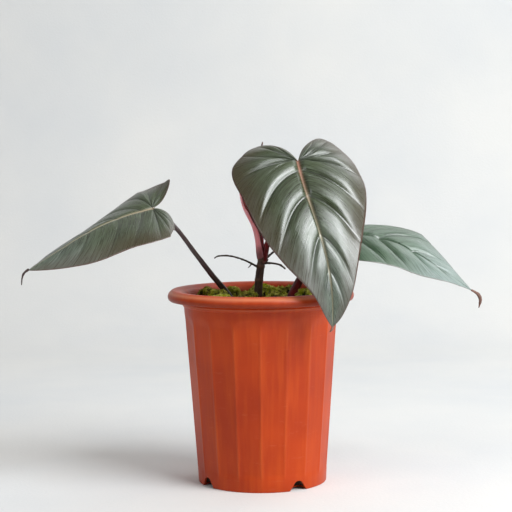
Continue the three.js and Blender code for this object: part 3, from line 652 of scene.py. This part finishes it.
def mossCushion(node, seed, o):
    # an uneven dome in the node's box, pushed in and out by lumps, covered in shoots
    rng = np.random.default_rng(seed)
    low, high = cornersOf(node)
    middle, half = (low + high) / 2, (high - low) / 2
    floor = low[2] - mm(1.2)
    tall = high[2] - floor

    def domePoint(turn, lift):
        # lift 0 is the foot and 1 the top; the outline is three and five lobed
        up, out = np.sin(lift * np.pi / 2), np.cos(lift * np.pi / 2) ** 0.6
        lobed = 0.86 + 0.1 * np.sin(3 * turn + seed) + 0.07 * np.sin(5 * turn + 2 * seed)
        place = over(middle[0] + half[0] * out * lobed * np.cos(turn),
                     middle[1] + half[1] * out * lobed * np.sin(turn), floor + tall * 0.72 * up)
        outward = unit(over(out * np.cos(turn), out * np.sin(turn), up * 1.1))
        lumps = wobble(place, seed, o["lumpSize"], 3)
        return place + outward * (lumps * o["lumpDepth"])[..., None], outward, lumps

    rows, columns = 16, 44
    turns = np.linspace(0, 2 * np.pi, columns + 1)[:-1]
    lift, turn = np.meshgrid(np.linspace(0, 1, rows), turns, indexing="ij")
    dome, _, domeLumps = domePoint(turn, lift)
    dome[-1] = dome[-1].mean(axis=0)
    domePoints = np.vstack([dome.reshape(-1, 3), [[middle[0], middle[1], floor]]])
    faces = gridFaces(rows, columns, around=True)
    ring = np.arange(columns)
    bottom = over(rows * columns, np.roll(ring, -1), ring)
    count = o["cushionShoots"]
    turn, lift = rng.uniform(0, 2 * np.pi, count), rng.uniform(0.02, 1, count) ** 0.85
    places, outward, lumps = domePoint(turn, lift)
    outward = unit(outward + rng.normal(size=(count, 3)) * 0.5)
    size = rng.uniform(*o["shootSize"], count)
    points, spikes, tip, pick = shoots(places, outward, size, rng)
    # painted shade: shoots in the hollows between lumps are darkened, those on the lumps lightened
    tip = tip * np.repeat(np.clip(0.68 + 0.95 * lumps, 0.25, 1.2), len(tip) // count)
    triangles = np.vstack([faces[:, [0, 1, 2]], faces[:, [0, 2, 3]], bottom, spikes + len(domePoints)])
    # painted shade on the dome as well: darker in its hollows, lighter on its lumps
    facts = dict(tip=np.r_[np.clip(0.2 + 0.25 * domeLumps.ravel(), 0, 0.4), 0, tip],
                 pick=np.r_[np.full(len(domePoints), 0.3), pick])
    return meshPiece("moss" + node[-2:], np.vstack([domePoints, points]), triangles, facts, weld=0)


mossNodes = sorted(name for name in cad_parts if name.startswith("moss"))
for i, node in enumerate(mossNodes):
    settle(mossCushion(node, 40 + i, soil), finishes["moss"], "moss", node)


def mossCarpet(o):
    # short shoots in patches over the mix, between the cushions
    rng = np.random.default_rng(91)
    x, y = scattered(o["carpetShoots"] * 2, rng, soilReach - mm(2.5))
    flat = over(x, y, soilTop)
    keep = wobble(flat, 8, mm(40), 2) > -0.12
    places = flat[keep][: o["carpetShoots"]]
    count = len(places)
    outward = unit(np.array([0, 0, 1.0]) + rng.normal(size=(count, 3)) * 0.3)
    size = rng.uniform(*o["shootSize"], count) * 1.15
    points, spikes, tip, pick = shoots(places, outward, size, rng)
    return meshPiece("mossCarpet", points, spikes, dict(tip=tip * 0.9, pick=pick), weld=0)


settle(mossCarpet(soil), finishes["moss"], "moss")
print("mix and moss made:", len(mossNodes), "cushions")


# stems, stalks and roots

limbMake = dict(groove=0, roll=0, blunt=1.0, growBack=0, growOn=0, nodes=())


def limbSurface(name, node, shape):
    # a round section carried along a path through shares of the node's box: radii along it,
    # raised rings at its nodes, fine waves in its skin, and a rounded or pointed end
    o = {**limbMake, **shape}
    rows, around = o["rows"], o["around"]
    points = placeIn(node, o["shares"])
    first = points[0] - unit(points[1] - points[0]) * mm(o["growBack"])
    last = points[-1] + unit(points[-1] - points[-2]) * mm(o["growOn"])
    line = pathThrough(np.vstack([first, points[1:-1], last]), rows)
    ahead = unit(np.gradient(line, axis=0))
    across = unit(np.cross(ahead, [0, -1, 0]))
    front = np.cross(across, ahead)
    share = np.linspace(0, 1, rows)
    run = lengthAlong(line)
    radius = mm(smoothThrough(o["radii"], share))
    rings = np.zeros(rows)
    for place, size, width in o["nodes"]:
        ring = bell((share - place) * run[-1], mm(width))
        radius = radius + mm(size) * ring
        rings = np.maximum(rings, ring)
    fromEnd = np.minimum(run, run[-1] - run) / (radius * o["blunt"])
    radius = radius * np.sqrt(1 - (1 - np.clip(fromEnd, 0, 1)) ** 2)
    turn = np.linspace(0, 2 * np.pi, around + 1)[:-1]
    groove = 1 - o["groove"] * bell(np.angle(np.exp(1j * (turn - np.pi / 2))), 0.45)
    roll = 1 + o["roll"] * ((turn / (2 * np.pi) + share[:, None] * 0.7) % 1 - 0.5)
    r = radius[:, None] * groove * roll
    out = across[:, None] * np.cos(turn)[:, None] + front[:, None] * np.sin(turn)[:, None]
    grid = line[:, None] + out * r[..., None]
    waves = wobble(grid, o["seed"], mm(o["waveSize"]), 3) * mm(o["waves"])
    grid = grid + out * (waves * np.minimum(1, radius / mm(1))[:, None])[..., None]
    grid[0], grid[-1] = line[0], line[-1]
    facts = dict(straight=over(r * np.cos(turn), r * np.sin(turn), run[:, None]),
                 along=np.repeat(share, around), node=np.repeat(rings, around))
    return meshPiece(name, grid, gridFaces(rows, around, around=True), facts)


stem = dict(
    shares=[[0.196, 0.638, 0.006], [0.449, 0.394, 0.327], [0.66, 0.312, 0.663], [0.727, 0.312, 0.828],
            [0.85, 0.312, 0.996]],
    radii=[4.7, 4.5, 4.3, 4.1, 3.9, 3.7], rows=220, around=48, seed=21, waves=0.2, waveSize=8,
    nodes=((0.66, 0.3, 1.1), (0.80, 0.35, 1.2), (0.91, 0.5, 1.4), (0.955, 0.3, 0.9)), blunt=0.9, growOn=2.5,
)
stalks = {
    "petiole_front": dict(
        shares=[[0.073, 0.663, 0.009], [0.126, 0.745, 0.119], [0.231, 0.842, 0.232], [0.452, 0.938, 0.458],
                [0.714, 0.828, 0.732], [0.894, 0.388, 0.904], [0.938, 0.031, 0.978]],
        radii=[3.1, 2.8, 2.4, 2.2, 2.1, 2.2, 2.4], groove=0.1, seed=31, finish="redPetiole",
        nodes=((0.985, 0.35, 2.5),), growBack=6, growOn=2),
    "petiole_left": dict(
        shares=[[0.97, 0.891, 0.011], [0.812, 0.583, 0.276], [0.624, 0.429, 0.462], [0.437, 0.275, 0.655],
                [0.255, 0.121, 0.846], [0.117, 0.075, 0.95], [0.009, 0.083, 0.984]],
        radii=[3.1, 3.0, 2.8, 2.5, 2.2, 2.1, 2.1], groove=0.12, seed=32, finish="petiole",
        nodes=((0.985, 0.3, 2.5),), growOn=2),
    "petiole_right": dict(
        shares=[[0.056, 0.365, 0.019], [0.241, 0.475, 0.293], [0.39, 0.512, 0.514], [0.506, 0.585, 0.676],
                [0.644, 0.731, 0.864], [0.81, 0.79, 0.954], [0.991, 0.526, 0.978]],
        radii=[5.0, 4.9, 4.6, 4.2, 3.4, 2.8, 2.5], groove=0.16, seed=33, finish="redPetiole",
        nodes=((0.985, 0.3, 2.5),), growOn=2),
}
roots = {
    "aerial_root_left": dict(
        shares=[[1.044, 1.031, -0.03], [0.766, 0.649, 0.483], [0.49, 0.362, 0.823], [0.27, 0.171, 0.953],
                [0.076, 0.075, 0.91], [0.009, 0.027, 0.773]],
        radii=[1.2, 1.0, 0.9, 0.85, 0.8, 0.65], seed=41),
    "aerial_root_right": dict(
        shares=[[-0.074, 1.005, 0.823], [0.342, 0.485, 0.879], [0.734, 0.225, 0.639], [0.978, 0.095, 0.074]],
        radii=[1.2, 1.05, 0.95, 0.85], seed=42),
    "aerial_root_back": dict(
        shares=[[-0.061, -0.028, -0.033], [0.348, 0.357, 0.5], [0.667, 0.717, 0.811], [0.989, 0.974, 0.966]],
        radii=[1.2, 1.05, 0.95, 0.7], seed=43),
}
rootlet = dict(shares=[[0.862, 0.782, 0.303], [0.811, 0.744, 0.115], [0.775, 0.725, 0.028]],
               radii=[0.7, 0.6, 0.4], rows=30, around=12, seed=44, waves=0.1, waveSize=3)
bud = dict(shares=[[0.017, 0.541, 0.198], [0.648, 0.541, 0.544], [0.964, 0.37, 0.933]], radii=[1.9, 1.6, 0.5],
           rows=50, around=24, seed=51, waves=0.08, waveSize=4, roll=0.25)
spear = dict(
    shares=[[0.73, -0.1, 0.003], [0.62, 0.11, 0.157], [0.31, 0.345, 0.334], [0.25, 0.51, 0.521],
            [0.41, 0.709, 0.699], [0.703, 0.862, 0.858], [0.955, 0.965, 0.998]],
    radii=[1.8, 2.2, 3.2, 4.4, 4.2, 2.7, 0.6], rows=200, around=64, seed=52, waves=0.12, waveSize=20,
    roll=0.3, growBack=8,
)
dripTips = {
    "drip_tip_front": dict(
        shares=[[0.776, 0.737, 0.849], [0.52, 0.341, 0.446], [0.094, 0.144, 0.094]],
        radii=[1.3, 1.1, 0.9, 0.4], seed=61, finish="dried", slot="dried_tip", growBack=4),
    "drip_tip_left": dict(
        shares=[[0.873, 0.632, 0.933], [0.478, 0.339, 0.788], [0.214, 0.303, 0.498], [0.082, 0.449, 0.004]],
        radii=[1.2, 1.0, 0.7, 0.4], seed=62, finish="petiole", slot="petiole_skin", growBack=3),
    "drip_tip_right": dict(
        shares=[[0.063, 0.5, 0.95], [0.545, 0.5, 0.797], [0.828, 0.5, 0.514], [0.769, 0.5, 0.238],
                [0.639, 0.5, 0.008]],
        radii=[1.0, 1.3, 1.7, 1.3, 0.4], seed=63, finish="dried", slot="dried_tip", growBack=3),
}

settle(limbSurface("stemCane", "main_stem", stem), finishes["bark"], "stem_bark", "main_stem")
for node, shape in stalks.items():
    stalk = dict(rows=200, around=32, waves=0.1, waveSize=14, **shape)
    settle(limbSurface(node.replace("_", "") + "Stalk", node, stalk), finishes[shape["finish"]],
           "petiole_skin", node)
for node, shape in roots.items():
    thread = dict(rows=110, around=16, waves=0.22, waveSize=4, **shape)
    settle(limbSurface(node.replace("_", "") + "Thread", node, thread), finishes["root"], "root_skin", node)
settle(limbSurface("rootletThread", "aerial_root_left", rootlet), finishes["root"], "root_skin")
settle(limbSurface("budTip", "axillary_bud", bud), finishes["spear"], "rolled_leaf", "axillary_bud")
settle(limbSurface("rolledSpear", "new_leaf", spear), finishes["spear"], "rolled_leaf", "new_leaf")
for node, shape in dripTips.items():
    dripTip = dict(rows=60, around=16, waves=0.16, waveSize=3, **shape)
    settle(limbSurface(node.replace("_", ""), node, dripTip), finishes[shape["finish"]], shape["slot"], node)
for name in sorted(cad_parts):
    if name.startswith("buried_root"):
        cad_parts[name].data.materials.clear()
        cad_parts[name].data.materials.append(finishes["root"])
print("stems, stalks and roots made")


# sheath of the new leaf

sheath = dict(
    shares=[[0.79, 0.17, -0.05], [0.763, 0.185, 0.001], [0.717, 0.313, 0.133], [0.586, 0.467, 0.271],
            [0.257, 0.641, 0.455], [0.122, 0.776, 0.639], [0.131, 0.892, 0.824], [0.468, 0.988, 0.997]],
    radii=[4.0, 4.3, 4.7, 6.4, 8.6, 9.2, 8, 1.2], wrap=[340, 300, 235, 190, 155, 135, 110, 80],
    facing=(0.74, -0.66, 0.1), thick=mm(0.7), rib=mm(0.09), ribs=26, keel=mm(0.25), flutter=mm(0.5),
    flutters=34, rows=150, columns=44,
)


def sheathSurface(o):
    # an open gutter: an arc of the wrap angle carried along the keel, its margins waving,
    # with an inner skin a thickness inside it
    rows, columns = o["rows"], o["columns"]
    line = pathThrough(placeIn("cataphyll", o["shares"]), rows)
    share = np.linspace(0, 1, rows)[:, None]
    ahead = unit(np.gradient(line, axis=0))
    face = np.array(o["facing"])
    front = unit(face - ahead * (ahead @ face)[:, None])
    across = np.cross(ahead, front)
    radius = mm(smoothThrough(o["radii"], share[:, 0]))[:, None]
    v = np.linspace(-1, 1, columns)
    angle = np.radians(smoothThrough(o["wrap"], share[:, 0]))[:, None] / 2 * v
    middle = (line + front * radius)[:, None]
    thick = o["thick"] * (1 - 0.6 * np.abs(v) ** 6) * np.minimum(1, (1 - share) * 12 + 0.2)
    ribbed = o["rib"] * np.cos(angle * o["ribs"]) * (1 - share) + o["keel"] * bell(v, 0.06)
    flutter = o["flutter"] * np.abs(v) ** 3 * np.sin(share * o["flutters"])
    skins = [middle - front[:, None] * (np.cos(angle) * r - flutter)[..., None]
             + across[:, None] * (np.sin(angle) * r)[..., None] for r in (radius + ribbed, radius - thick)]
    inner = rows * columns
    ids = np.arange(inner).reshape(rows, columns)

    def joined(edge):
        # faces from an edge of the outer skin to the same edge of the inner one
        return np.stack([edge[:-1], edge[1:], edge[1:] + inner, edge[:-1] + inner], -1)

    faces = np.vstack([gridFaces(rows, columns), gridFaces(rows, columns, start=inner)[:, ::-1],
                       joined(ids[:, 0])[:, ::-1], joined(ids[:, -1]), joined(ids[0]),
                       joined(ids[-1])[:, ::-1]])
    weave = over(angle * 1.6, share * 10, 0.0)
    foot = ease((0.13 - share) / 0.1)
    keel = [np.clip(bell(v, 0.05) * 0.25 + foot * 0.8, 0, 1),
            np.broadcast_to(foot * 0.6, ids.shape)]
    margin = np.broadcast_to(ease((np.abs(v) - 0.9) / 0.1), (2, rows, columns))
    return meshPiece("sheathHusk", skins, faces, dict(weave=[weave, weave], keel=keel, margin=margin))


settle(sheathSurface(sheath), finishes["sheath"], "sheath_skin", "cataphyll")
print("sheath made")


# leaves

bladeStations = [0.94, 0.82, 0.64, 0.43, 0.22, 0.03, -0.12]
leafMake = dict(
    rows=260, columns=46, thick=mm(0.55), veins=(0.118, 0.196, 0.297, 0.378, 0.505, 0.62, 0.735, 0.845),
    veinDepth=mm(0.6), veinWidth=mm(0.9), puff=mm(2.6), shoulder=mm(4.0), belly=mm(1.0),
    ribDepth=mm(0.8), ribWidth=mm(2.0), ribBelow=mm(1.5), pinkRib=1, veinBelow=mm(0.35),
    warp=mm(0.5), warpSize=mm(34), ribLines=0.42, pinkReach=0.42,
)
leafShapes = {
    "leaf_front": dict(
        rib=[[0.484, 0.624, 0.874], [0.545, 0.189, 0.621], [0.748, 0.091, 0.386], [0.711, 0.038, 0.0]],
        face=[[0.2, -0.75, 0.63], [0.2, -0.94, 0.26]],
        left=dict(fold=[2, 5, 18], curl=[80, 80, 67], lobe=165, lobeEnd=[-0.204, -0.246, -0.105],
                  widths=[0.045, 0.11, 0.228, 0.306, 0.342, 0.372, 0.284, 0.203, 0.155]),
        right=dict(fold=[17, 6, 12], curl=[108, 106, 78], lobe=120, lobeEnd=[-0.208, -0.246, -0.11],
                   widths=[0.05, 0.112, 0.187, 0.3, 0.367, 0.34, 0.262, 0.214, 0.163]),
        seed=71, finish="leaf", slot="leaf_blade"),
    "leaf_left": dict(
        rib=[[0.833, 0.623, 0.668], [0.482, 0.481, 0.541], [0.383, 0.202, 0.421], [0.002, 0.009, 0.006]],
        face=[[-0.74, -0.39, 0.54], [-0.31, -0.47, 0.83]],
        left=dict(fold=[25, -9, -22], curl=[106, 64, 58], lobe=-172, lobeEnd=[-0.202, -0.248, -0.106],
                  widths=[0.045, 0.125, 0.232, 0.312, 0.345, 0.348, 0.308, 0.218, 0.168]),
        right=dict(fold=[-19, -21, -28], curl=[13, 54, 59], lobe=410, lobeEnd=[-0.19, -0.225, -0.12],
                   widths=[0.052, 0.14, 0.25, 0.322, 0.378, 0.358, 0.302, 0.208, 0.142]),
        seed=72, finish="leaf", slot="leaf_blade", puff=mm(0.8), veinDepth=mm(0.28), belly=mm(0.35),
        pinkRib=0.15),
    "leaf_right": dict(
        rib=[[0.22, 0.51, 0.838], [0.491, 0.454, 0.95], [0.739, 0.444, 0.504], [0.999, 0.251, 0.008]],
        face=[[0.216, -0.414, 0.884], [0.423, -0.506, 0.752]],
        left=dict(fold=[14, 10, -1], curl=[57, 50, 64], lobe=60, lobeEnd=[-0.2, -0.245, -0.13],
                  widths=[0.027, 0.108, 0.237, 0.319, 0.375, 0.364, 0.299, 0.202, 0.119]),
        right=dict(fold=[-8, 6, -14], curl=[69, 48, 56], lobe=60, lobeEnd=[-0.2, -0.245, -0.13],
                   widths=[0.031, 0.114, 0.226, 0.326, 0.374, 0.364, 0.299, 0.202, 0.119]),
        seed=73, finish="paleLeaf", slot="leaf_blade_pale", puff=mm(2.2), belly=mm(0.6), veinDepth=mm(0.9),
        veinWidth=mm(1.3)),
}


def bezier(p, t):
    # a cubic Bezier and its direction at t
    t = t[..., None]
    place = (1 - t) ** 3 * p[0] + 3 * (1 - t) ** 2 * t * p[1] + 3 * (1 - t) * t ** 2 * p[2] + t ** 3 * p[3]
    way = (1 - t) ** 2 * (p[1] - p[0]) + 2 * (1 - t) * t * (p[2] - p[1]) + t ** 2 * (p[3] - p[2])
    return place, unit(way)


def bladePoint(rib, face, half, side, along, out):
    # along and out are shares of the rib's length: from the junction to the tip, below zero in
    # the lobes, and from the rib to the margin; the lobe's spine bends back in an arc, and each
    # half leaves the rib at its fold angle and follows an arc of its curl
    t = np.linspace(0, 1, 401)
    line, _ = bezier(rib, t)
    run = lengthAlong(line)
    length = run[-1]
    share = np.clip(along, 0, 1)
    place, ahead = bezier(rib, np.interp(share, run / length, t))
    face = unit(np.array(face, float))
    up = face[0] + (face[1] - face[0]) * share[..., None]
    up = unit(up - ahead * (up * ahead).sum(-1, keepdims=True))
    across = np.cross(up, ahead)
    bend = np.radians(half["lobe"])
    turned = bend * np.maximum(-along, 0)[..., None]
    place = place - (ahead * np.sin(turned) + up * (1 - np.cos(turned))) / bend * length
    up = up * np.cos(turned) - ahead * np.sin(turned)
    fold = np.radians(np.interp(share, [0, 0.5, 1], half["fold"]))
    curl = np.radians(np.interp(share, [0, 0.5, 1], half["curl"]))
    sideways = (np.sin(fold) - np.sin(fold - curl * out)) / curl
    upwards = (np.cos(fold - curl * out) - np.cos(fold)) / curl
    return place + (across * (side * sideways)[..., None] + up * upwards[..., None]) * length, up


def marginOf(half, u):
    # the outline of one half from the tip (u = 0) round the lobe to the junction (u = 1)
    w, ends = half["widths"], half["lobeEnd"]
    outline = [(1, 0)] + list(zip(bladeStations, w[:7])) + [(ends[0], w[7]), (ends[1], w[8])]
    outline += [(ends[2], w[8] * 0.3), (0, 0)]
    return smoothThrough(outline, u)


def leafSurface(node, shape):
    # lines run from the rib to the margin as the side veins do; the sheet sinks along each vein
    # and swells between them, and has an upper and a lower skin joined round the margin
    o = {**leafMake, **shape}
    rib = placeIn(node, o["rib"])
    rows, columns = o["rows"], o["columns"]
    u = np.linspace(0, 1, rows)[:, None]
    v = np.linspace(0, 1, columns)[None] ** 1.25
    # the first lines leave the rib from the tip down, and the rest leave the junction
    start = np.maximum(0, 1 - u / o["ribLines"]) ** 1.1
    vein = np.array(o["veins"])
    ladder = np.r_[0, vein, 1]
    gap = np.clip(np.searchsorted(ladder, u[:, 0], side="right") - 1, 0, len(ladder) - 2)
    phase = ((u[:, 0] - ladder[gap]) / (ladder[gap + 1] - ladder[gap]))[:, None]
    swell = np.sin(np.pi * phase ** 0.8) ** 0.8 * np.sin(np.pi * v ** 0.7) ** 0.9
    taper = 0.4 + 0.6 * (1 - start)
    thick = o["thick"] * (1 - 0.55 * v ** 8)
    parts, faces = [], []
    kept = {name: [] for name in ("weave", "vein", "margin", "rib", "pink", "under", "edge", "tipward")}
    for index, (name, side) in enumerate((("left", -1), ("right", 1))):
        half = o[name]
        edge = marginOf(half, u[:, 0])
        edgeAlong, edgeOut = edge[:, :1], np.maximum(edge[:, 1:], 0)
        # a bowed line: it leaves the rib steeply and swings towards the tip
        bow = 2 * v * (1 - v)
        bowAlong = start + (edgeAlong - start) * 0.22
        along = start * (1 - v) ** 2 + bow * bowAlong + edgeAlong * v ** 2
        out = bow * edgeOut * 0.56 + edgeOut * v ** 2
        sheet, up = bladePoint(rib, o["face"], half, side, along, out)
        du, dv = np.gradient(sheet, axis=0), np.gradient(sheet, axis=1)
        cross = np.cross(du, dv)
        flat = np.linalg.norm(cross, axis=-1, keepdims=True) < 1e-12
        normal = unit(cross)
        normal *= np.sign((normal * up).sum(-1, keepdims=True))
        normal = unit(np.where(flat, up, normal))
        normal[:, 0] = up[:, 0]
        # how far each point is from its nearest side vein, across the lines, and from the rib
        perRow = np.linalg.norm(du, axis=-1) * (rows - 1)
        away = np.abs(u[..., None] - vein).min(-1) * perRow
        fromRib = np.linalg.norm(sheet - sheet[:, :1], axis=-1)
        groove = bell(away, o["veinWidth"]) * ease(v / 0.04) * (1 - 0.75 * v ** 1.5)
        risen = (1 - np.exp(-(away / o["shoulder"]) ** 1.5)) * ease(v / 0.1) * ease((1.02 - v) / 0.5)
        lift = (o["puff"] * risen + o["belly"] * swell) * np.minimum(1, edgeOut / 0.2)
        lift = lift - o["veinDepth"] * groove
        lift = lift + o["warp"] * wobble(sheet, o["seed"] + index, o["warpSize"], 2) * v * (1 - 0.4 * v)
        nearRib = bell(fromRib, o["ribWidth"]) * ease(u / 0.03) * ease((0.9 - u) / 0.1)
        lift = lift - o["ribDepth"] * nearRib * taper
        ribUnder = bell(fromRib, o["ribWidth"] * 1.15) * ease(u / 0.03) * ease((1 - u) / 0.06)
        below = thick + o["ribBelow"] * ribUnder * taper + o["veinBelow"] * groove
        upper = sheet + normal * lift[..., None]
        lower = upper - normal * below[..., None]
        base = sum(len(p) for p in parts)
        parts += [upper.reshape(-1, 3), lower.reshape(-1, 3)]
        top = gridFaces(rows, columns, start=base)
        bottom = gridFaces(rows, columns, start=base + rows * columns)[:, ::-1]
        ids = base + np.arange(rows) * columns + columns - 1
        wall = np.stack([ids[:-1], ids[:-1] + rows * columns, ids[1:] + rows * columns, ids[1:]], -1)
        sheetFaces = np.vstack([top, bottom, wall])
        faces.append(sheetFaces if side > 0 else sheetFaces[:, ::-1])
        marks = dict(
            # the vein mark carries painted shade in the sunk veins
            vein=bell(away, o["veinWidth"] * 0.8) * ease(v / 0.03) * (1 - 0.8 * v),
            rib=bell(fromRib, o["ribWidth"] * 0.75) * ease(u / 0.02) * (0.35 + 0.65 * taper),
            margin=ease((v - 0.97) / 0.03),
            pink=o["pinkRib"] * ease((o["pinkReach"] - start) / o["pinkReach"]),
            # the edge mark is a brown flush, partly the leaf's own browning and partly painted shade
            edge=ease((v - 0.5) / 0.5) * ease(u / 0.04),
            # how far towards the tip the painted highlight reaches
            tipward=ease((along - 0.35) / 0.5),
        )
        for key, value in marks.items():
            kept[key] += [np.broadcast_to(value, away.shape).ravel()] * 2
        kept["weave"] += [over(u * 150, v * 12, side * 3.0).reshape(-1, 3)] * 2
        kept["under"] += [np.zeros(away.size), np.ones(away.size)]
    facts = {key: np.concatenate(value) for key, value in kept.items()}
    name = node.replace("leaf_", "") + "Blade"
    return meshPiece(name, np.vstack(parts), np.vstack(faces), facts, weld=2e-6)


for node, shape in leafShapes.items():
    blade = leafSurface(node, shape)
    settle(blade, finishes[shape["finish"]], shape["slot"], node)
    print("leaf made:", node, len(blade.data.polygons), "faces")


# stage, light and camera

def stageSheet():
    # a floor that curves up into a backdrop: flat, a quarter round, then upright
    front, back, bend, tall, side = -7, 0.9, 0.5, 3.2, 6
    t = np.linspace(0, np.pi / 2, 24)
    depth = np.r_[front, back + bend * np.sin(t), back + bend]
    height = np.r_[0, bend * (1 - np.cos(t)), tall]
    x = np.linspace(-side, side, 9)
    points = over(x, depth[:, None], height[:, None])
    return meshPiece("paleSheet", points, gridFaces(len(depth), len(x))[:, ::-1], weld=0)


def sheetFinish():
    # painted board: pale grey with faint clouds
    f = Finish("paleBoard")
    place = f.place()
    cloud = f.noise(place, 3, 4)
    grain = f.noise(place, 260, 2)
    colour = f.mix(f.between(cloud, 0.35, 0.65), (215, 216, 217), (224, 223, 221))
    return f.surface(colour, 0.9, grain, 0.0002)


stage = stageSheet()
stage.data.materials.append(sheetFinish())


def roomLight(strength, colour, towards):
    # pale light from all round, stronger from one side than from the other
    f = Finish("paleRoom", bpy.data.worlds)
    way = f.add("ShaderNodeTexCoord", output="Generated")
    towards = unit(np.array(towards, float)).tolist()
    facing = f.add("ShaderNodeVectorMath", {"operation": "DOT_PRODUCT"}, {0: way, 1: towards}, output="Value")
    glow = f.between(facing, -0.5, 1.0, *strength)
    light = f.add("ShaderNodeBackground", None, {"Color": colour, "Strength": glow})
    f.add("ShaderNodeOutputWorld", None, {"Surface": light})
    bpy.context.scene.world = f.owner


def aimed(holder, place, right, up, back):
    # stands a lamp or the camera at a place, turned to these three axes
    spin = Matrix(np.stack([right, up, back], 1).tolist())
    holder.matrix_world = Matrix.Translation(place) @ spin.to_4x4()


def softLight(name, place, size, power, colour):
    # a square lamp that looks at the pot's rim
    lamp = bpy.data.lights.new(name, "AREA")
    lamp.size, lamp.energy, lamp.color = size, power, colour
    back = unit(np.array(place) - np.array([0, 0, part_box("pot")[1][2]]))
    right = unit(np.cross([0, 0, 1], back))
    aimed(linked(name, lamp), place, right, np.cross(back, right), back)


roomLight((0.13, 0.5), (1.0, 0.975, 0.93, 1), (0.6, 0.35, 0.7))
softLight("windowLight", (1.58, -1.22, 1.74), 1.6, 84, (0.95, 0.985, 1.0))
softLight("skyFill", (-1.2, -1.1, 1.1), 0.9, 5.5, (0.95, 0.97, 1.0))
softLight("backLight", (0.85, 0.8, 1.25), 0.9, 4, (0.95, 0.98, 1.0))

view = dict(place=(-0.0043144, -1.44453, 0.31985), tilt=0.0705, roll=-0.0089, lens=105.53)
camera = bpy.data.cameras.new("frontCamera")
camera.lens, camera.sensor_width, camera.clip_end = view["lens"], 36, 30
cameraHolder = linked("frontCamera", camera)
ahead = np.array([0, np.cos(view["tilt"]), -np.sin(view["tilt"])])
level = np.array([0, np.sin(view["tilt"]), np.cos(view["tilt"])])
right = np.array([1.0, 0, 0]) * np.cos(view["roll"]) + level * np.sin(view["roll"])
aimed(cameraHolder, view["place"], right, np.cross(right, ahead), -ahead)
bpy.context.scene.camera = cameraHolder
bpy.context.scene.view_settings.view_transform = "Standard"
print("stage, light and camera made")
